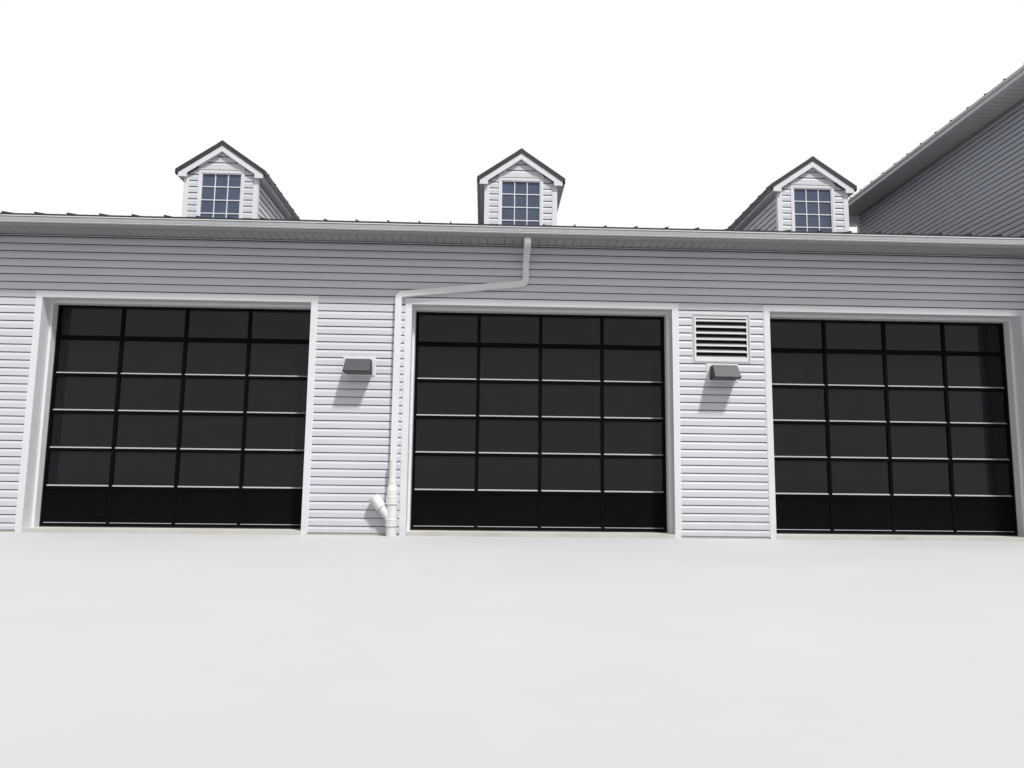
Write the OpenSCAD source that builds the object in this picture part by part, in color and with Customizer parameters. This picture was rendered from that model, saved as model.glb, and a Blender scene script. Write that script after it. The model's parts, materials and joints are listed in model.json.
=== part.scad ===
// Three-bay apparatus building with a low metal roof and three gabled dormers,
// joined to a taller wing on the right. Millimetres, full size.
// The front faces -Y, +X is to the viewer's right and the ground is at z = 0.

/* [Low wing] */
// from the left doorway's edge to the left end
left_end = 903; // [470:1:1870]
// from the right doorway's edge to the taller wing
right_end = 375; // [270:1:1070]
// depth from front face to back face
low_depth = 20000; // [19000:10:22000]
// front wall thickness, which is also the depth of the door reveals
front_wall_t = 390; // [340:5:440]
// thickness of every other outside wall
wall_t = 300; // [200:10:350]
// bottom edge of the cladding above the ground
base_h = 38; // [25:1:50]
// floor level above the ground
floor_h = 60; // [55:1:90]

/* [Overhead doors] */
// distance between door centres
door_pitch = 5885; // [5600:5:6100]
// clear width of a doorway
door_w = 4260; // [3900:10:4400]
// height of a doorway's head above the ground
door_head_z = 3701; // [3500:1:3710]
// sections in one door
door_sections = 6; // [5:1:7]
// glazed columns in one door
door_columns = 4; // [3:1:5]
// how far the door runs behind the jamb on each side
door_lap = 20; // [10:1:30]
// height of a door above the floor
door_h = 3657.6; // [3655:0.1:3690]
// depth of the glazed grid
grid_t = 24; // [20:1:32]
// width of the outer stiles
stile_w = 102; // [90:1:120]
// width of the inner mullions
mullion_w = 54; // [40:1:70]
// height of the flat face of a section's bottom rail
rail_h = 36; // [30:1:50]
// height of the same face on the lowest section
foot_rail_h = 63; // [55:1:90]
// height of the sloping ledge over each bottom rail
ledge_h = 22; // [15:1:30]
// height of a section's top rail
top_rail_h = 20; // [15:1:30]
// height of the top rail of the highest section
head_rail_h = 77; // [70:1:90]
// how far the solid lowest panels are set back from the rails
panel_set = 10; // [6:1:14]
// gap between two sections, seen as a thin groove
section_gap = 4; // [3:0.5:6]
// depth of that groove
groove_d = 8; // [5:1:10]
// thickness of a sheet of glass
glass_t = 6; // [4:1:10]

/* [Door surround] */
// width of the face trim
casing_w = 97; // [80:1:120]
// projection of the face trim
casing_t = 20; // [14:1:26]
// thickness of the jamb lining
lining_t = 20; // [15:1:30]
// width of the stop moulding
stop_w = 35; // [25:1:45]
// depth of the stop's face behind the wall face
stop_y = 240; // [180:5:280]

/* [Roof and eaves] */
// rise of the roof for each unit of run
roof_rise = 0.26; // [0.2:0.01:0.26]
// top of the roof at its eave edge
roof_edge_z = 4915; // [4900:5:4960]
// vertical thickness of the roof
roof_t = 60; // [50:5:80]
// overhang of the roof beyond the wall face
roof_oh = 500; // [460:5:560]
// underside of the soffit above the ground
soffit_z = 4745; // [4720:1:4760]
// thickness of soffit and fascia boards
board_t = 20; // [15:1:25]
// how far the roof edge stands out past the fascia
drip = 30; // [20:1:40]
// how far the fascia hangs below the soffit
lap_down = 15; // [10:1:20]
// overhang of the roof past the gable ends
rake_oh = 300; // [250:10:400]
// vertical depth of the rake boards
rake_h = 165; // [140:5:200]
// how far the square ends of the rake boards hang below the soffit
return_drop = 240; // [200:10:260]
// half width of the ridge caps
cap_w = 180; // [120:10:240]
// thickness of the ridge caps
cap_t = 12; // [8:1:16]
// width of the corner posts
corner_w = 90; // [80:5:130]

/* [Gutter] */
// width of the gutter from back to lip
gutter_w = 150; // [130:1:170]
// height of the gutter
gutter_h = 155; // [140:1:165]
// underside of the gutter above the ground
gutter_z = 4690; // [4675:1:4700]
// sheet thickness of the gutter and downspout
sheet_t = 3; // [2:0.5:5]

/* [Downspout] */
// width across the wall
spout_w = 104; // [90:1:110]
// depth out from the wall
spout_d = 76; // [60:1:85]
// gap between the downspout and the wall face
spout_gap = 14; // [13:1:25]
// gap between the lower drop and the door's face trim
spout_side = 66; // [50:1:90]
// centre of the gutter outlet from the middle door's centre
outlet_x = -285; // [-400:5:-100]
// centre of the gutter outlet behind the gutter's back
outlet_in = 52; // [50:1:70]
// centre height of the upper bend on the wall
run_top_z = 4075; // [4000:5:4150]
// centre height of the bend into the lower drop
run_low_z = 3850; // [3830:5:3950]
// lower end of the downspout
drop_end_z = 1170; // [1100:10:1300]
// how far the outlet runs straight down from the gutter
neck_drop = 80; // [60:5:100]
// height of the slope from there back to the wall
neck_fall = 190; // [170:5:220]

/* [Standpipe] */
// outside diameter of the upper pipe
pipe_small_d = 114; // [110:1:118]
// outside diameter of the lower pipe
pipe_big_d = 168; // [160:1:172]
// outside diameter of the couplings
coupling_d = 190; // [180:1:196]
// pipe wall
pipe_wall = 7; // [5:1:9]
// top of the reducer
reducer_z = 820; // [800:5:900]
// height of the reducer
reducer_h = 118; // [90:2:130]
// bottom of the lower coupling above the ground
coupling_z = 153; // [120:1:160]
// height of the lower coupling
coupling_h = 100; // [90:5:120]
// bottom of the upper coupling above the ground
sleeve_z = 488; // [460:1:500]
// height of the upper coupling
sleeve_h = 116; // [100:2:200]
// height of the ring where the upper pipe leaves the reducer
collar_h = 60; // [40:5:80]
// where the branch's axis leaves the upright's axis, above the ground
branch_z = 225; // [210:5:260]
// angle of the branch from the upright
branch_angle = 38; // [30:1:45]
// length of the branch to its open mouth
branch_len = 470; // [440:5:520]
// outside diameter of the branch
branch_d = 140; // [120:2:150]
// outside diameter of the bell at its mouth
bell_d = 174; // [160:2:180]
// length of the bell
bell_len = 200; // [150:5:220]

/* [Louver] */
// gap between the louver and the face trim on each side
louver_side = 243; // [230:1:300]
// height over the frame
louver_h = 806; // [760:2:840]
// bottom above the ground
louver_z = 2827; // [2800:1:2850]
// width of the frame's stiles
louver_rim = 52; // [44:1:60]
// height of the frame's rails
louver_rim_z = 68; // [60:1:76]
// how far the sleeve in the wall is thicker than the frame's opening
sleeve_t = 14; // [10:1:18]
// width of the frame's raised outer edge
louver_edge = 26; // [20:1:32]
// number of blades
louver_blades = 7; // [6:1:7]
// distance from one blade to the next
louver_pitch = 103; // [98:1:105]
// height of a blade's front lip
louver_lip = 28; // [20:1:34]
// depth of the blades
louver_d = 82; // [70:1:100]
// sheet thickness of the blades
louver_t = 5; // [4:0.5:7]

/* [Wall lights] */
// width of a mounting block
block_w = 500; // [480:5:520]
// height of a mounting block
block_h = 290; // [270:5:300]
// thickness of a mounting block
block_t = 25; // [18:1:35]
// bottom of the blocks above the ground
block_z = 2523; // [2500:1:2530]
// width of a lamp housing at its bottom
lamp_w = 420; // [400:5:440]
// width of a lamp housing at its top
lamp_top_w = 394; // [380:2:410]
// height of a lamp housing
lamp_h = 228; // [200:2:240]
// depth of a lamp housing at its bottom
lamp_d = 300; // [260:5:320]
// depth of a lamp housing at its top
lamp_top_d = 150; // [130:5:180]
// height of the straight edge under the sloping face
lamp_edge = 20; // [12:1:30]
// lamp bottom above the block's bottom
lamp_up = 14; // [10:1:30]

/* [Dormers] */
// distance between dormer centres
dormer_pitch = 5990; // [5800:5:6100]
// centre of the middle dormer from the middle door
dormer_x = -264; // [-300:1:0]
// width over the side walls
dormer_w = 1432; // [1360:2:1500]
// face of the dormer behind the front wall's face
dormer_y = 2600; // [2500:10:2620]
// top of a dormer's ridge above the ground
dormer_ridge_z = 7556; // [7500:2:7560]
// rise of a dormer's roof for each unit of run
dormer_rise = 0.69; // [0.66:0.01:0.72]
// overhang over the dormer's face
dormer_oh = 100; // [80:5:160]
// overhang over the dormer's sides
dormer_side_oh = 175; // [150:1:200]
// vertical thickness of a dormer's roof
dormer_roof_t = 95; // [80:5:100]
// thickness of a dormer's walls
dormer_wall_t = 120; // [100:5:150]
// vertical depth of a dormer's rake boards
dormer_rake_h = 127; // [110:1:140]
// width of their square ends
dormer_return_w = 170; // [150:2:190]
// how far the square ends hang below the roof's tips
dormer_return_drop = 52; // [45:1:60]
// how far the rake boards stop short of the roof's tips
dormer_drip = 54; // [45:1:60]
// width of a dormer's corner posts
post_w = 80; // [70:1:95]
// clear width of a dormer's window opening
sash_w = 806; // [780:2:820]
// clear height of a dormer's window opening
sash_h = 1129; // [1110:1:1131]
// top of a dormer's window opening above the ground
sash_top_z = 6907; // [6900:1:6915]
// width of the window's side trim
sash_trim_w = 50; // [40:1:52]
// height of the window's head trim
sash_head_h = 86; // [80:1:88]
// face width of the sash
sash_rail = 22; // [18:1:26]
// depth of the sash
sash_d = 60; // [50:1:70]
// depth of the glass behind the dormer's face
sash_set = 20; // [10:1:30]
// half width of a dormer's ridge cap
dormer_cap_w = 70; // [50:5:90]
// its thickness
dormer_cap_t = 5; // [4:1:8]

/* [Tall wing] */
// width of the tall wing
tall_w = 8000; // [7000:100:9500]
// how far its front stands before the low wing's front
tall_step = 800; // [700:10:1200]
// its back face behind the low wing's front
tall_back = 5980; // [5900:10:6200]
// underside of its soffit above the ground
tall_soffit_z = 7600; // [7580:5:7620]
// top of its roof at the eave edge
tall_edge_z = 7720; // [7700:5:7740]
// vertical thickness of its roof
tall_roof_t = 40; // [35:5:60]
// overhang of its eaves
tall_oh = 590; // [550:5:620]
// how far the square ends of its rake boards hang below its soffit
tall_return_drop = 200; // [180:10:240]

/* [Hidden] */

// small clearance where one piece seats on another
seat = 0.3;
// longer than the building, for cuts that run right through it
big = 60000;
// how far a rake board stands inside the roof's end
rake_in = drip / 2;

wall_white = [0.86, 0.87, 0.88];
trim_white = [0.93, 0.94, 0.95];
roof_dark = [0.16, 0.17, 0.19];
gutter_grey = [0.88, 0.89, 0.9];

low_x0 = -door_pitch - door_w / 2 - left_end;
low_x1 = door_pitch + door_w / 2 + right_end;
low_mid_y = low_depth / 2;
// the low roof and its eave stop short of the taller wing by its face trim
low_stop_x = low_x1 - casing_t - seat;
tall_x0 = low_x1;
tall_x1 = low_x1 + tall_w;
tall_mid_x = (tall_x0 + tall_x1) / 2;
tall_y0 = -tall_step;
open_w = door_w + 2 * lining_t + 2 * seat;
open_z = door_head_z + lining_t + seat;
door_y = front_wall_t + seat;
section_h = door_h / door_sections;
pier_x = door_pitch / 2;
louver_w = door_pitch - door_w - 2 * casing_w - 2 * louver_side;
fascia_y = -roof_oh + drip;

// the whole building is centred over the middle of its own outline
out_x0 = low_x0 - rake_oh;
out_x1 = tall_x1 + tall_oh;
gutter_out = gutter_w + seat - fascia_y;
out_y0 = min(-gutter_out, tall_y0 - rake_oh);
out_y1 = low_depth + gutter_out;
shift_x = -(out_x0 + out_x1) / 2;
shift_y = -(out_y0 + out_y1) / 2;

function low_top(y) = roof_edge_z + roof_rise * (roof_oh + min(y, low_depth - y));
function low_under(y) = low_top(y) - roof_t;
function tall_top(x) = tall_edge_z + roof_rise * (tall_oh + min(x - tall_x0, tall_x1 - x));
function tall_under(x) = tall_top(x) - tall_roof_t;
dormer_half = dormer_w / 2 + dormer_side_oh;
dormer_end_y = low_mid_y - cap_w - seat;
function dormer_top(x) = dormer_ridge_z - dormer_rise * abs(x);
function dormer_under(x) = dormer_top(x) - dormer_roof_t;

module placed() {
    translate([shift_x, shift_y, 0]) children();
}

// a profile drawn in (y, z), run along X from x0 to x1
module along_x(x0, x1) {
    translate([x0, 0, 0]) rotate([90, 0, 90]) linear_extrude(x1 - x0) children();
}

// a profile drawn in (x, z), run along Y from y0 to y1
module along_y(y0, y1) {
    translate([0, y1, 0]) rotate([90, 0, 0]) linear_extrude(y1 - y0) children();
}

module box(x0, x1, y0, y1, z0, z1) {
    translate([x0, y0, z0]) cube([x1 - x0, y1 - y0, z1 - z0]);
}

module at_doors() {
    for (i = [-1 : 1]) translate([i * door_pitch, 0, 0]) children();
}

module at_dormers() {
    for (i = [-1 : 1]) translate([dormer_x + i * dormer_pitch, 0, 0]) children();
}

// the same thing on both sides of x = 0
module both_sides() {
    for (s = [0, 1]) mirror([s, 0, 0]) children();
}

module floor_slab() {
    color([0.72, 0.71, 0.68]) placed() {
        union() {
            box(low_x0, low_x1 - seat, 0, low_depth, 0, base_h);
            box(low_x0 + wall_t + seat, low_x1 - wall_t - seat,
                front_wall_t + seat, low_depth - wall_t - seat, base_h - 1, floor_h);
            at_doors() {
                box(-open_w / 2 + seat, open_w / 2 - seat, 0, front_wall_t + 1, base_h - 1, floor_h);
                box(-door_w / 2 + seat, door_w / 2 - seat, -casing_t, 1, 0, floor_h);
            }
        }
        union() {
            box(tall_x0, tall_x1, tall_y0, tall_back, 0, base_h);
            box(tall_x0 + wall_t + seat, tall_x1 - wall_t - seat,
                tall_y0 + wall_t + seat, tall_back - wall_t - seat, base_h - 1, floor_h);
        }
    }
}

module pier(x0, x1) {
    box(x0, x1, 0, front_wall_t, base_h + seat, open_z);
}

module front_pier_left() {
    color(wall_white) placed() pier(low_x0, -door_pitch - open_w / 2);
}

module front_pier_centre_left() {
    color(wall_white) placed() pier(-door_pitch + open_w / 2, -open_w / 2);
}

module front_pier_centre_right() {
    half = louver_w / 2 - louver_rim + sleeve_t + seat;
    color(wall_white) placed() difference() {
        pier(open_w / 2, door_pitch - open_w / 2);
        box(pier_x - half, pier_x + half, -1, front_wall_t + 1,
            louver_z + louver_rim_z - sleeve_t - seat,
            louver_z + louver_h - louver_rim_z + sleeve_t + seat);
    }
}

module front_pier_right() {
    color(wall_white) placed() pier(door_pitch + open_w / 2, low_x1 - seat);
}

module front_header() {
    color(wall_white) placed() along_x(low_x0, low_x1 - seat) polygon([
        [0, open_z + seat], [front_wall_t, open_z + seat],
        [front_wall_t, low_under(front_wall_t) - seat], [0, low_under(0) - seat]]);
}

module back_wall() {
    color(wall_white) placed() along_x(low_x0, low_x1 - seat) polygon([
        [low_depth - wall_t, base_h + seat], [low_depth, base_h + seat],
        [low_depth, low_under(low_depth) - seat],
        [low_depth - wall_t, low_under(low_depth - wall_t) - seat]]);
}

module low_gable_profile(y0) {
    y1 = low_depth - wall_t - seat;
    polygon([[y0, base_h + seat], [y1, base_h + seat], [y1, low_under(y1) - seat],
        [low_mid_y, low_under(low_mid_y) - seat], [y0, low_under(y0) - seat]]);
}

module left_gable_wall() {
    color(wall_white) placed()
        along_x(low_x0, low_x0 + wall_t) low_gable_profile(front_wall_t + seat);
}

// beside the taller wing that wing's own wall closes the hall
module right_gable_wall() {
    color(wall_white) placed()
        along_x(low_x1 - wall_t, low_x1 - seat) low_gable_profile(tall_back - wall_t);
}

module roof_front() {
    color(roof_dark) placed() {
        along_x(low_x0 - rake_oh, low_stop_x) polygon([
            [-roof_oh, low_top(-roof_oh)], [low_mid_y - seat, low_top(low_mid_y)],
            [low_mid_y - seat, low_under(low_mid_y)], [-roof_oh, low_under(-roof_oh)]]);
        along_x(low_x1 - casing_t, low_x1 + rake_oh) polygon([
            [roof_step_y, low_top(roof_step_y)], [low_mid_y - seat, low_top(low_mid_y)],
            [low_mid_y - seat, low_under(low_mid_y)], [roof_step_y, low_under(roof_step_y)]]);
    }
}

// behind the taller wing the front slope runs on over the right gable
roof_step_y = tall_back + casing_t + seat;

module roof_back() {
    edge = low_depth + roof_oh;
    color(roof_dark) placed() along_x(low_x0 - rake_oh, low_x1 + rake_oh) polygon([
        [edge, low_top(edge)], [low_mid_y, low_top(low_mid_y)],
        [low_mid_y, low_under(low_mid_y)], [edge, low_under(edge)]]);
}

module cap_profile(half, rise, t) {
    polygon([[-half, -half * rise], [0, 0], [half, -half * rise],
        [half, t - half * rise], [0, t], [-half, t - half * rise]]);
}

module ridge_caps() {
    color(roof_dark) placed() {
        along_x(low_x0 - rake_oh, low_x1 + rake_oh)
            translate([low_mid_y, low_top(low_mid_y) + seat]) cap_profile(cap_w, roof_rise, cap_t);
        along_y(tall_y0 - rake_oh, tall_back + rake_oh)
            translate([tall_mid_x, tall_top(tall_mid_x) + seat]) cap_profile(cap_w, roof_rise, cap_t);
        at_dormers() difference() {
            along_y(dormer_y - dormer_oh, dormer_end_y) translate([0, dormer_ridge_z + seat])
                cap_profile(dormer_cap_w, dormer_rise, dormer_cap_t);
            under_low_roof(seat);
        }
    }
}

// soffit and fascia in one piece, drawn for an eave whose wall face is at 0
module eave_profile(soffit, oh, under_edge) {
    face = -oh + drip;
    polygon([[-seat, soffit], [face + board_t, soffit], [face + board_t, soffit - lap_down],
        [face, soffit - lap_down], [face, under_edge - seat],
        [face + board_t, under_edge - seat], [face + board_t, soffit + board_t],
        [-seat, soffit + board_t]]);
}

// the eaves stop behind the rake boards
eave_x0 = low_x0 - rake_oh + rake_in + board_t + seat;

module eave_front() {
    color(wall_white) placed() {
        along_x(eave_x0, low_stop_x) eave_profile(soffit_z, roof_oh, low_under(fascia_y));
        along_x(low_stop_x - board_t, low_stop_x) polygon([
            [-seat, soffit_z], [fascia_y, soffit_z - lap_down],
            [fascia_y, low_under(fascia_y) - seat], [-seat, low_under(0) - 2 * seat]]);
    }
}

module eave_back() {
    color(wall_white) placed()
        along_x(eave_x0, low_x1 + rake_oh - rake_in - board_t - seat)
            translate([low_depth, 0]) mirror([1, 0])
                eave_profile(soffit_z, roof_oh, low_under(fascia_y));
}

// gutter section with the back at 0 and the lip at -gutter_w
module gutter_outer(t) {
    w = gutter_w;
    h = gutter_h;
    polygon([[-t, t], [-t, h + 5 * t], [-w + t, h + 5 * t], [-w + t, h - 13],
        [-w + 7 + t, h - 17], [-w + 7 + t, 64], [-w + 22 + t, 50], [-w + 28 + t, 44],
        [-w + 26 + t, 36], [-w + 32 + t, 14], [-w + 46, t]]);
}

module gutter_run(x0, x1) {
    translate([0, fascia_y - seat, gutter_z]) difference() {
        along_x(x0, x1) gutter_outer(0);
        along_x(x0 + sheet_t, x1 - sheet_t) gutter_outer(sheet_t);
    }
}

outlet_y = fascia_y - outlet_in;

module gutter_front() {
    hx = spout_w / 2 - sheet_t;
    hy = spout_d / 2 - sheet_t;
    color(gutter_grey) placed() difference() {
        gutter_run(low_x0 - rake_oh, low_stop_x);
        box(outlet_x - hx, outlet_x + hx, outlet_y - hy, outlet_y + hy,
            gutter_z - 1, gutter_z + sheet_t + 1);
    }
}

module gutter_back() {
    color(gutter_grey) placed() translate([0, low_depth, 0]) mirror([0, 1, 0])
        gutter_run(low_x0 - rake_oh, low_x1 + rake_oh);
}

drop_x = -(door_w / 2 + casing_w + spout_side + spout_w / 2);
spout_y = -spout_d / 2 - spout_gap;
stub_z = run_top_z + spout_w;
neck_z0 = gutter_z - neck_drop;
neck_z1 = neck_z0 - neck_fall;
// centre lines of the neck in (y, z) and of the run on the wall in (x, z)
neck_path = [[outlet_y, gutter_z - seat], [outlet_y, neck_z0], [spout_y, neck_z1],
    [spout_y, stub_z + seat]];
run_path = [[outlet_x, stub_z], [outlet_x, run_top_z], [drop_x, run_low_z],
    [drop_x, drop_end_z]];

// unit vector to the left of the way from a to b
function left_of(a, b) = [a[1] - b[1], b[0] - a[0]] / norm(b - a);
// corner of a band whose edge runs d to the left of the path p, at its point i
function mitre(p, i, d) =
    i == 0 ? p[0] + d * left_of(p[0], p[1]) :
    i == len(p) - 1 ? p[i] + d * left_of(p[i - 1], p[i]) :
    p[i] + d * (left_of(p[i - 1], p[i]) + left_of(p[i], p[i + 1]))
        / (1 + left_of(p[i - 1], p[i]) * left_of(p[i], p[i + 1]));

// length i of the band of half width d along the path, made longer by e at both ends
module band(p, i, d, e) {
    u = (p[i + 1] - p[i]) / norm(p[i + 1] - p[i]);
    polygon([mitre(p, i, d) - e * u, mitre(p, i, -d) - e * u,
        mitre(p, i + 1, -d) + e * u, mitre(p, i + 1, d) + e * u]);
}

// the spout is made of straight lengths that meet at mitred joints
module downspout() {
    color(gutter_grey) placed() {
        for (i = [0 : 2]) difference() {
            along_x(outlet_x - spout_w / 2, outlet_x + spout_w / 2)
                band(neck_path, i, spout_d / 2, i == 1 ? -seat : 0);
            along_x(outlet_x - spout_w / 2 + sheet_t, outlet_x + spout_w / 2 - sheet_t)
                band(neck_path, i, spout_d / 2 - sheet_t, 1);
        }
        for (i = [0 : 2]) difference() {
            along_y(spout_y - spout_d / 2, spout_y + spout_d / 2)
                band(run_path, i, spout_w / 2, i == 1 ? -seat : 0);
            along_y(spout_y - spout_d / 2 + sheet_t, spout_y + spout_d / 2 - sheet_t)
                band(run_path, i, spout_w / 2 - sheet_t, 1);
        }
    }
}

pipe_y = -coupling_d / 2 - casing_t - seat;

module standpipe_outer(w) {
    cone_z = reducer_z - reducer_h;
    cylinder(d = pipe_big_d - 2 * w, h = cone_z + 0.1);
    translate([0, 0, cone_z])
        cylinder(d1 = pipe_big_d - 2 * w, d2 = pipe_small_d - 2 * w, h = reducer_h);
    translate([0, 0, reducer_z - 0.1])
        cylinder(d = pipe_small_d - 2 * w, h = drop_end_z - seat - reducer_z + 0.1);
}

module branch(w, extra) {
    translate([0, 0, branch_z]) rotate([0, -branch_angle, 0]) {
        cylinder(d = branch_d - 2 * w, h = branch_len + extra);
        translate([0, 0, branch_len - bell_len + w])
            cylinder(d = bell_d - 2 * w, h = bell_len - w + extra);
    }
}

module standpipe() {
    color([0.93, 0.94, 0.94]) placed() translate([drop_x, pipe_y, 0]) difference() {
        union() {
            standpipe_outer(0);
            branch(0, 0);
            translate([0, 0, coupling_z]) cylinder(d = coupling_d, h = coupling_h);
            translate([0, 0, sleeve_z]) cylinder(d = coupling_d, h = sleeve_h);
            translate([0, 0, reducer_z - collar_h / 3])
                cylinder(d = pipe_small_d + 2 * pipe_wall, h = collar_h);
        }
        translate([0, 0, -0.01]) standpipe_outer(pipe_wall);
        translate([0, 0, drop_end_z - 2]) cylinder(d = pipe_small_d - 2 * pipe_wall, h = 5);
        branch(pipe_wall, 5);
    }
}

// two legs and a head, each with face trim, jamb lining and stop
module door_casing(i) {
    half = door_w / 2;
    leg_h = door_head_z - floor_h - seat;
    color(trim_white) placed() translate([i * door_pitch, 0, 0]) {
        both_sides() union() {
            box(half, half + casing_w, -casing_t, -seat, seat, door_head_z);
            translate([half, 0, floor_h + seat]) linear_extrude(leg_h) polygon([
                [0, -casing_t], [lining_t, -casing_t], [lining_t, front_wall_t],
                [-stop_w, front_wall_t], [-stop_w, stop_y], [0, stop_y]]);
        }
        union() {
            box(-half - casing_w, half + casing_w, -casing_t, -seat,
                door_head_z + seat, door_head_z + casing_w);
            box(-half - lining_t, half + lining_t, -casing_t, front_wall_t,
                door_head_z + seat, door_head_z + lining_t);
            box(-half + stop_w + seat, half - stop_w - seat, stop_y, front_wall_t,
                door_head_z - stop_w, door_head_z + lining_t);
        }
    }
}

// one opening of the grid, with a ledge that slopes back from the rail below it
module pane_hole(x0, x1, z0, z1) {
    back = door_y + grid_t;
    along_x(x0, x1) polygon([[door_y - 1, z0], [door_y, z0], [back, z0 + ledge_h],
        [back + 1, z0 + ledge_h], [back + 1, z1], [door_y - 1, z1]]);
}

module overhead_door(i) {
    width = door_w + 2 * door_lap;
    clear = width - 2 * stile_w;
    pane = (clear - (door_columns - 1) * mullion_w) / door_columns;
    color([0.04, 0.04, 0.045]) placed() translate([i * door_pitch, 0, 0]) {
        difference() {
            box(-width / 2, width / 2, door_y, door_y + grid_t, floor_h + seat, floor_h + door_h);
            for (k = [0 : door_sections - 1], c = [0 : door_columns - 1]) {
                x0 = -clear / 2 + c * (pane + mullion_w);
                z0 = floor_h + k * section_h + (k == 0 ? foot_rail_h : rail_h);
                z1 = floor_h + (k + 1) * section_h
                    - (k == door_sections - 1 ? head_rail_h : top_rail_h);
                pane_hole(x0, x0 + pane, z0, z1);
            }
            for (k = [1 : door_sections - 1])
                box(-width, width, door_y - 1, door_y + groove_d,
                    floor_h + k * section_h - section_gap / 2,
                    floor_h + k * section_h + section_gap / 2);
        }
        box(-width / 2 + door_lap, width / 2 - door_lap, door_y + panel_set, door_y + grid_t,
            floor_h + foot_rail_h / 2, floor_h + section_h - top_rail_h / 2);
    }
}

module door_glass(i) {
    half = door_w / 2;
    y0 = door_y + grid_t + seat;
    color([0.25, 0.3, 0.33, 0.6]) placed() translate([i * door_pitch, 0, 0])
        box(-half, half, y0, y0 + glass_t,
            floor_h + section_h, floor_h + door_h - head_rail_h / 2);
}

module louver() {
    in_w = louver_w - 2 * louver_rim;
    reach = louver_d - casing_t;
    color(trim_white) placed() translate([pier_x, 0, louver_z]) {
        difference() {
            union() {
                box(-louver_w / 2, louver_w / 2, -casing_t, -seat, 0, louver_h);
                box(-in_w / 2 - sleeve_t, in_w / 2 + sleeve_t, -casing_t, reach,
                    louver_rim_z - sleeve_t, louver_h - louver_rim_z + sleeve_t);
            }
            box(-louver_w / 2 + louver_edge, louver_w / 2 - louver_edge,
                -casing_t - 1, -casing_t * 0.6, louver_edge, louver_h - louver_edge);
            box(-in_w / 2, in_w / 2, -casing_t - 1, reach + 1,
                louver_rim_z, louver_h - louver_rim_z);
        }
        intersection() {
            box(-louver_w / 2, louver_w / 2, -casing_t, reach,
                louver_rim_z, louver_h - louver_rim_z + 1);
            for (k = [0 : louver_blades - 1]) along_x(-in_w / 2 - 1, in_w / 2 + 1)
                translate([-casing_t * 0.6, louver_rim_z + k * louver_pitch]) polygon([
                    [0, 0], [0, louver_lip], [louver_t, louver_lip], [louver_t, louver_t],
                    [reach, louver_pitch - louver_t], [reach, louver_pitch - 2 * louver_t],
                    [louver_t, 0]]);
        }
    }
}

module light_blocks() {
    color(trim_white) placed() both_sides()
        box(pier_x - block_w / 2, pier_x + block_w / 2, -block_t, -seat, block_z, block_z + block_h);
}

// a housing that narrows upward, with a sloping face and a pocket for the lens below
module wall_lights() {
    back = -block_t - seat;
    color([0.22, 0.23, 0.25]) placed() both_sides() translate([pier_x, back, block_z + lamp_up])
        difference() {
            intersection() {
                along_x(-lamp_w / 2, lamp_w / 2) polygon([[0, 0], [0, lamp_h],
                    [-lamp_top_d, lamp_h], [-lamp_d, lamp_edge], [-lamp_d, 0]]);
                along_y(-lamp_d - 1, 0) polygon([[-lamp_w / 2, 0], [lamp_w / 2, 0],
                    [lamp_top_w / 2, lamp_h], [-lamp_top_w / 2, lamp_h]]);
            }
            box(-lamp_w / 2 + lamp_edge, lamp_w / 2 - lamp_edge,
                -lamp_d + lamp_edge, -lamp_edge * 2, -1, lamp_edge / 2);
        }
}

// all that lies below the top of the low roof's front slope, lifted by a clearance
module under_low_roof(lift) {
    along_x(-big / 2, big / 2) polygon([[-roof_oh, low_top(-roof_oh) + lift],
        [low_mid_y, low_top(low_mid_y) + lift], [big, low_top(low_mid_y) + lift],
        [big, -big], [-roof_oh, -big]]);
}

module dormer_walls() {
    half = dormer_w / 2;
    side = half - dormer_wall_t;
    cheek_y = dormer_y + dormer_wall_t + seat;
    color(wall_white) placed() at_dormers() difference() {
        union() {
            along_y(dormer_y, dormer_y + dormer_wall_t) polygon([[-half, 0], [half, 0],
                [half, dormer_under(half) - seat], [0, dormer_under(0) - seat],
                [-half, dormer_under(half) - seat]]);
            both_sides() along_y(cheek_y, dormer_end_y) polygon([[side, 0], [half, 0],
                [half, dormer_under(half) - seat], [side, dormer_under(side) - seat]]);
        }
        under_low_roof(seat);
        box(-sash_w / 2, sash_w / 2, dormer_y - 1, dormer_y + dormer_wall_t + 1,
            sash_top_z - sash_h, sash_top_z);
    }
}

module dormer_roofs() {
    color(roof_dark) placed() at_dormers() difference() {
        both_sides() along_y(dormer_y - dormer_oh, dormer_end_y) polygon([
            [seat / 2, dormer_top(0)], [dormer_half, dormer_top(dormer_half)],
            [dormer_half, dormer_under(dormer_half)], [seat / 2, dormer_under(0)]]);
        under_low_roof(seat);
    }
}

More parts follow.
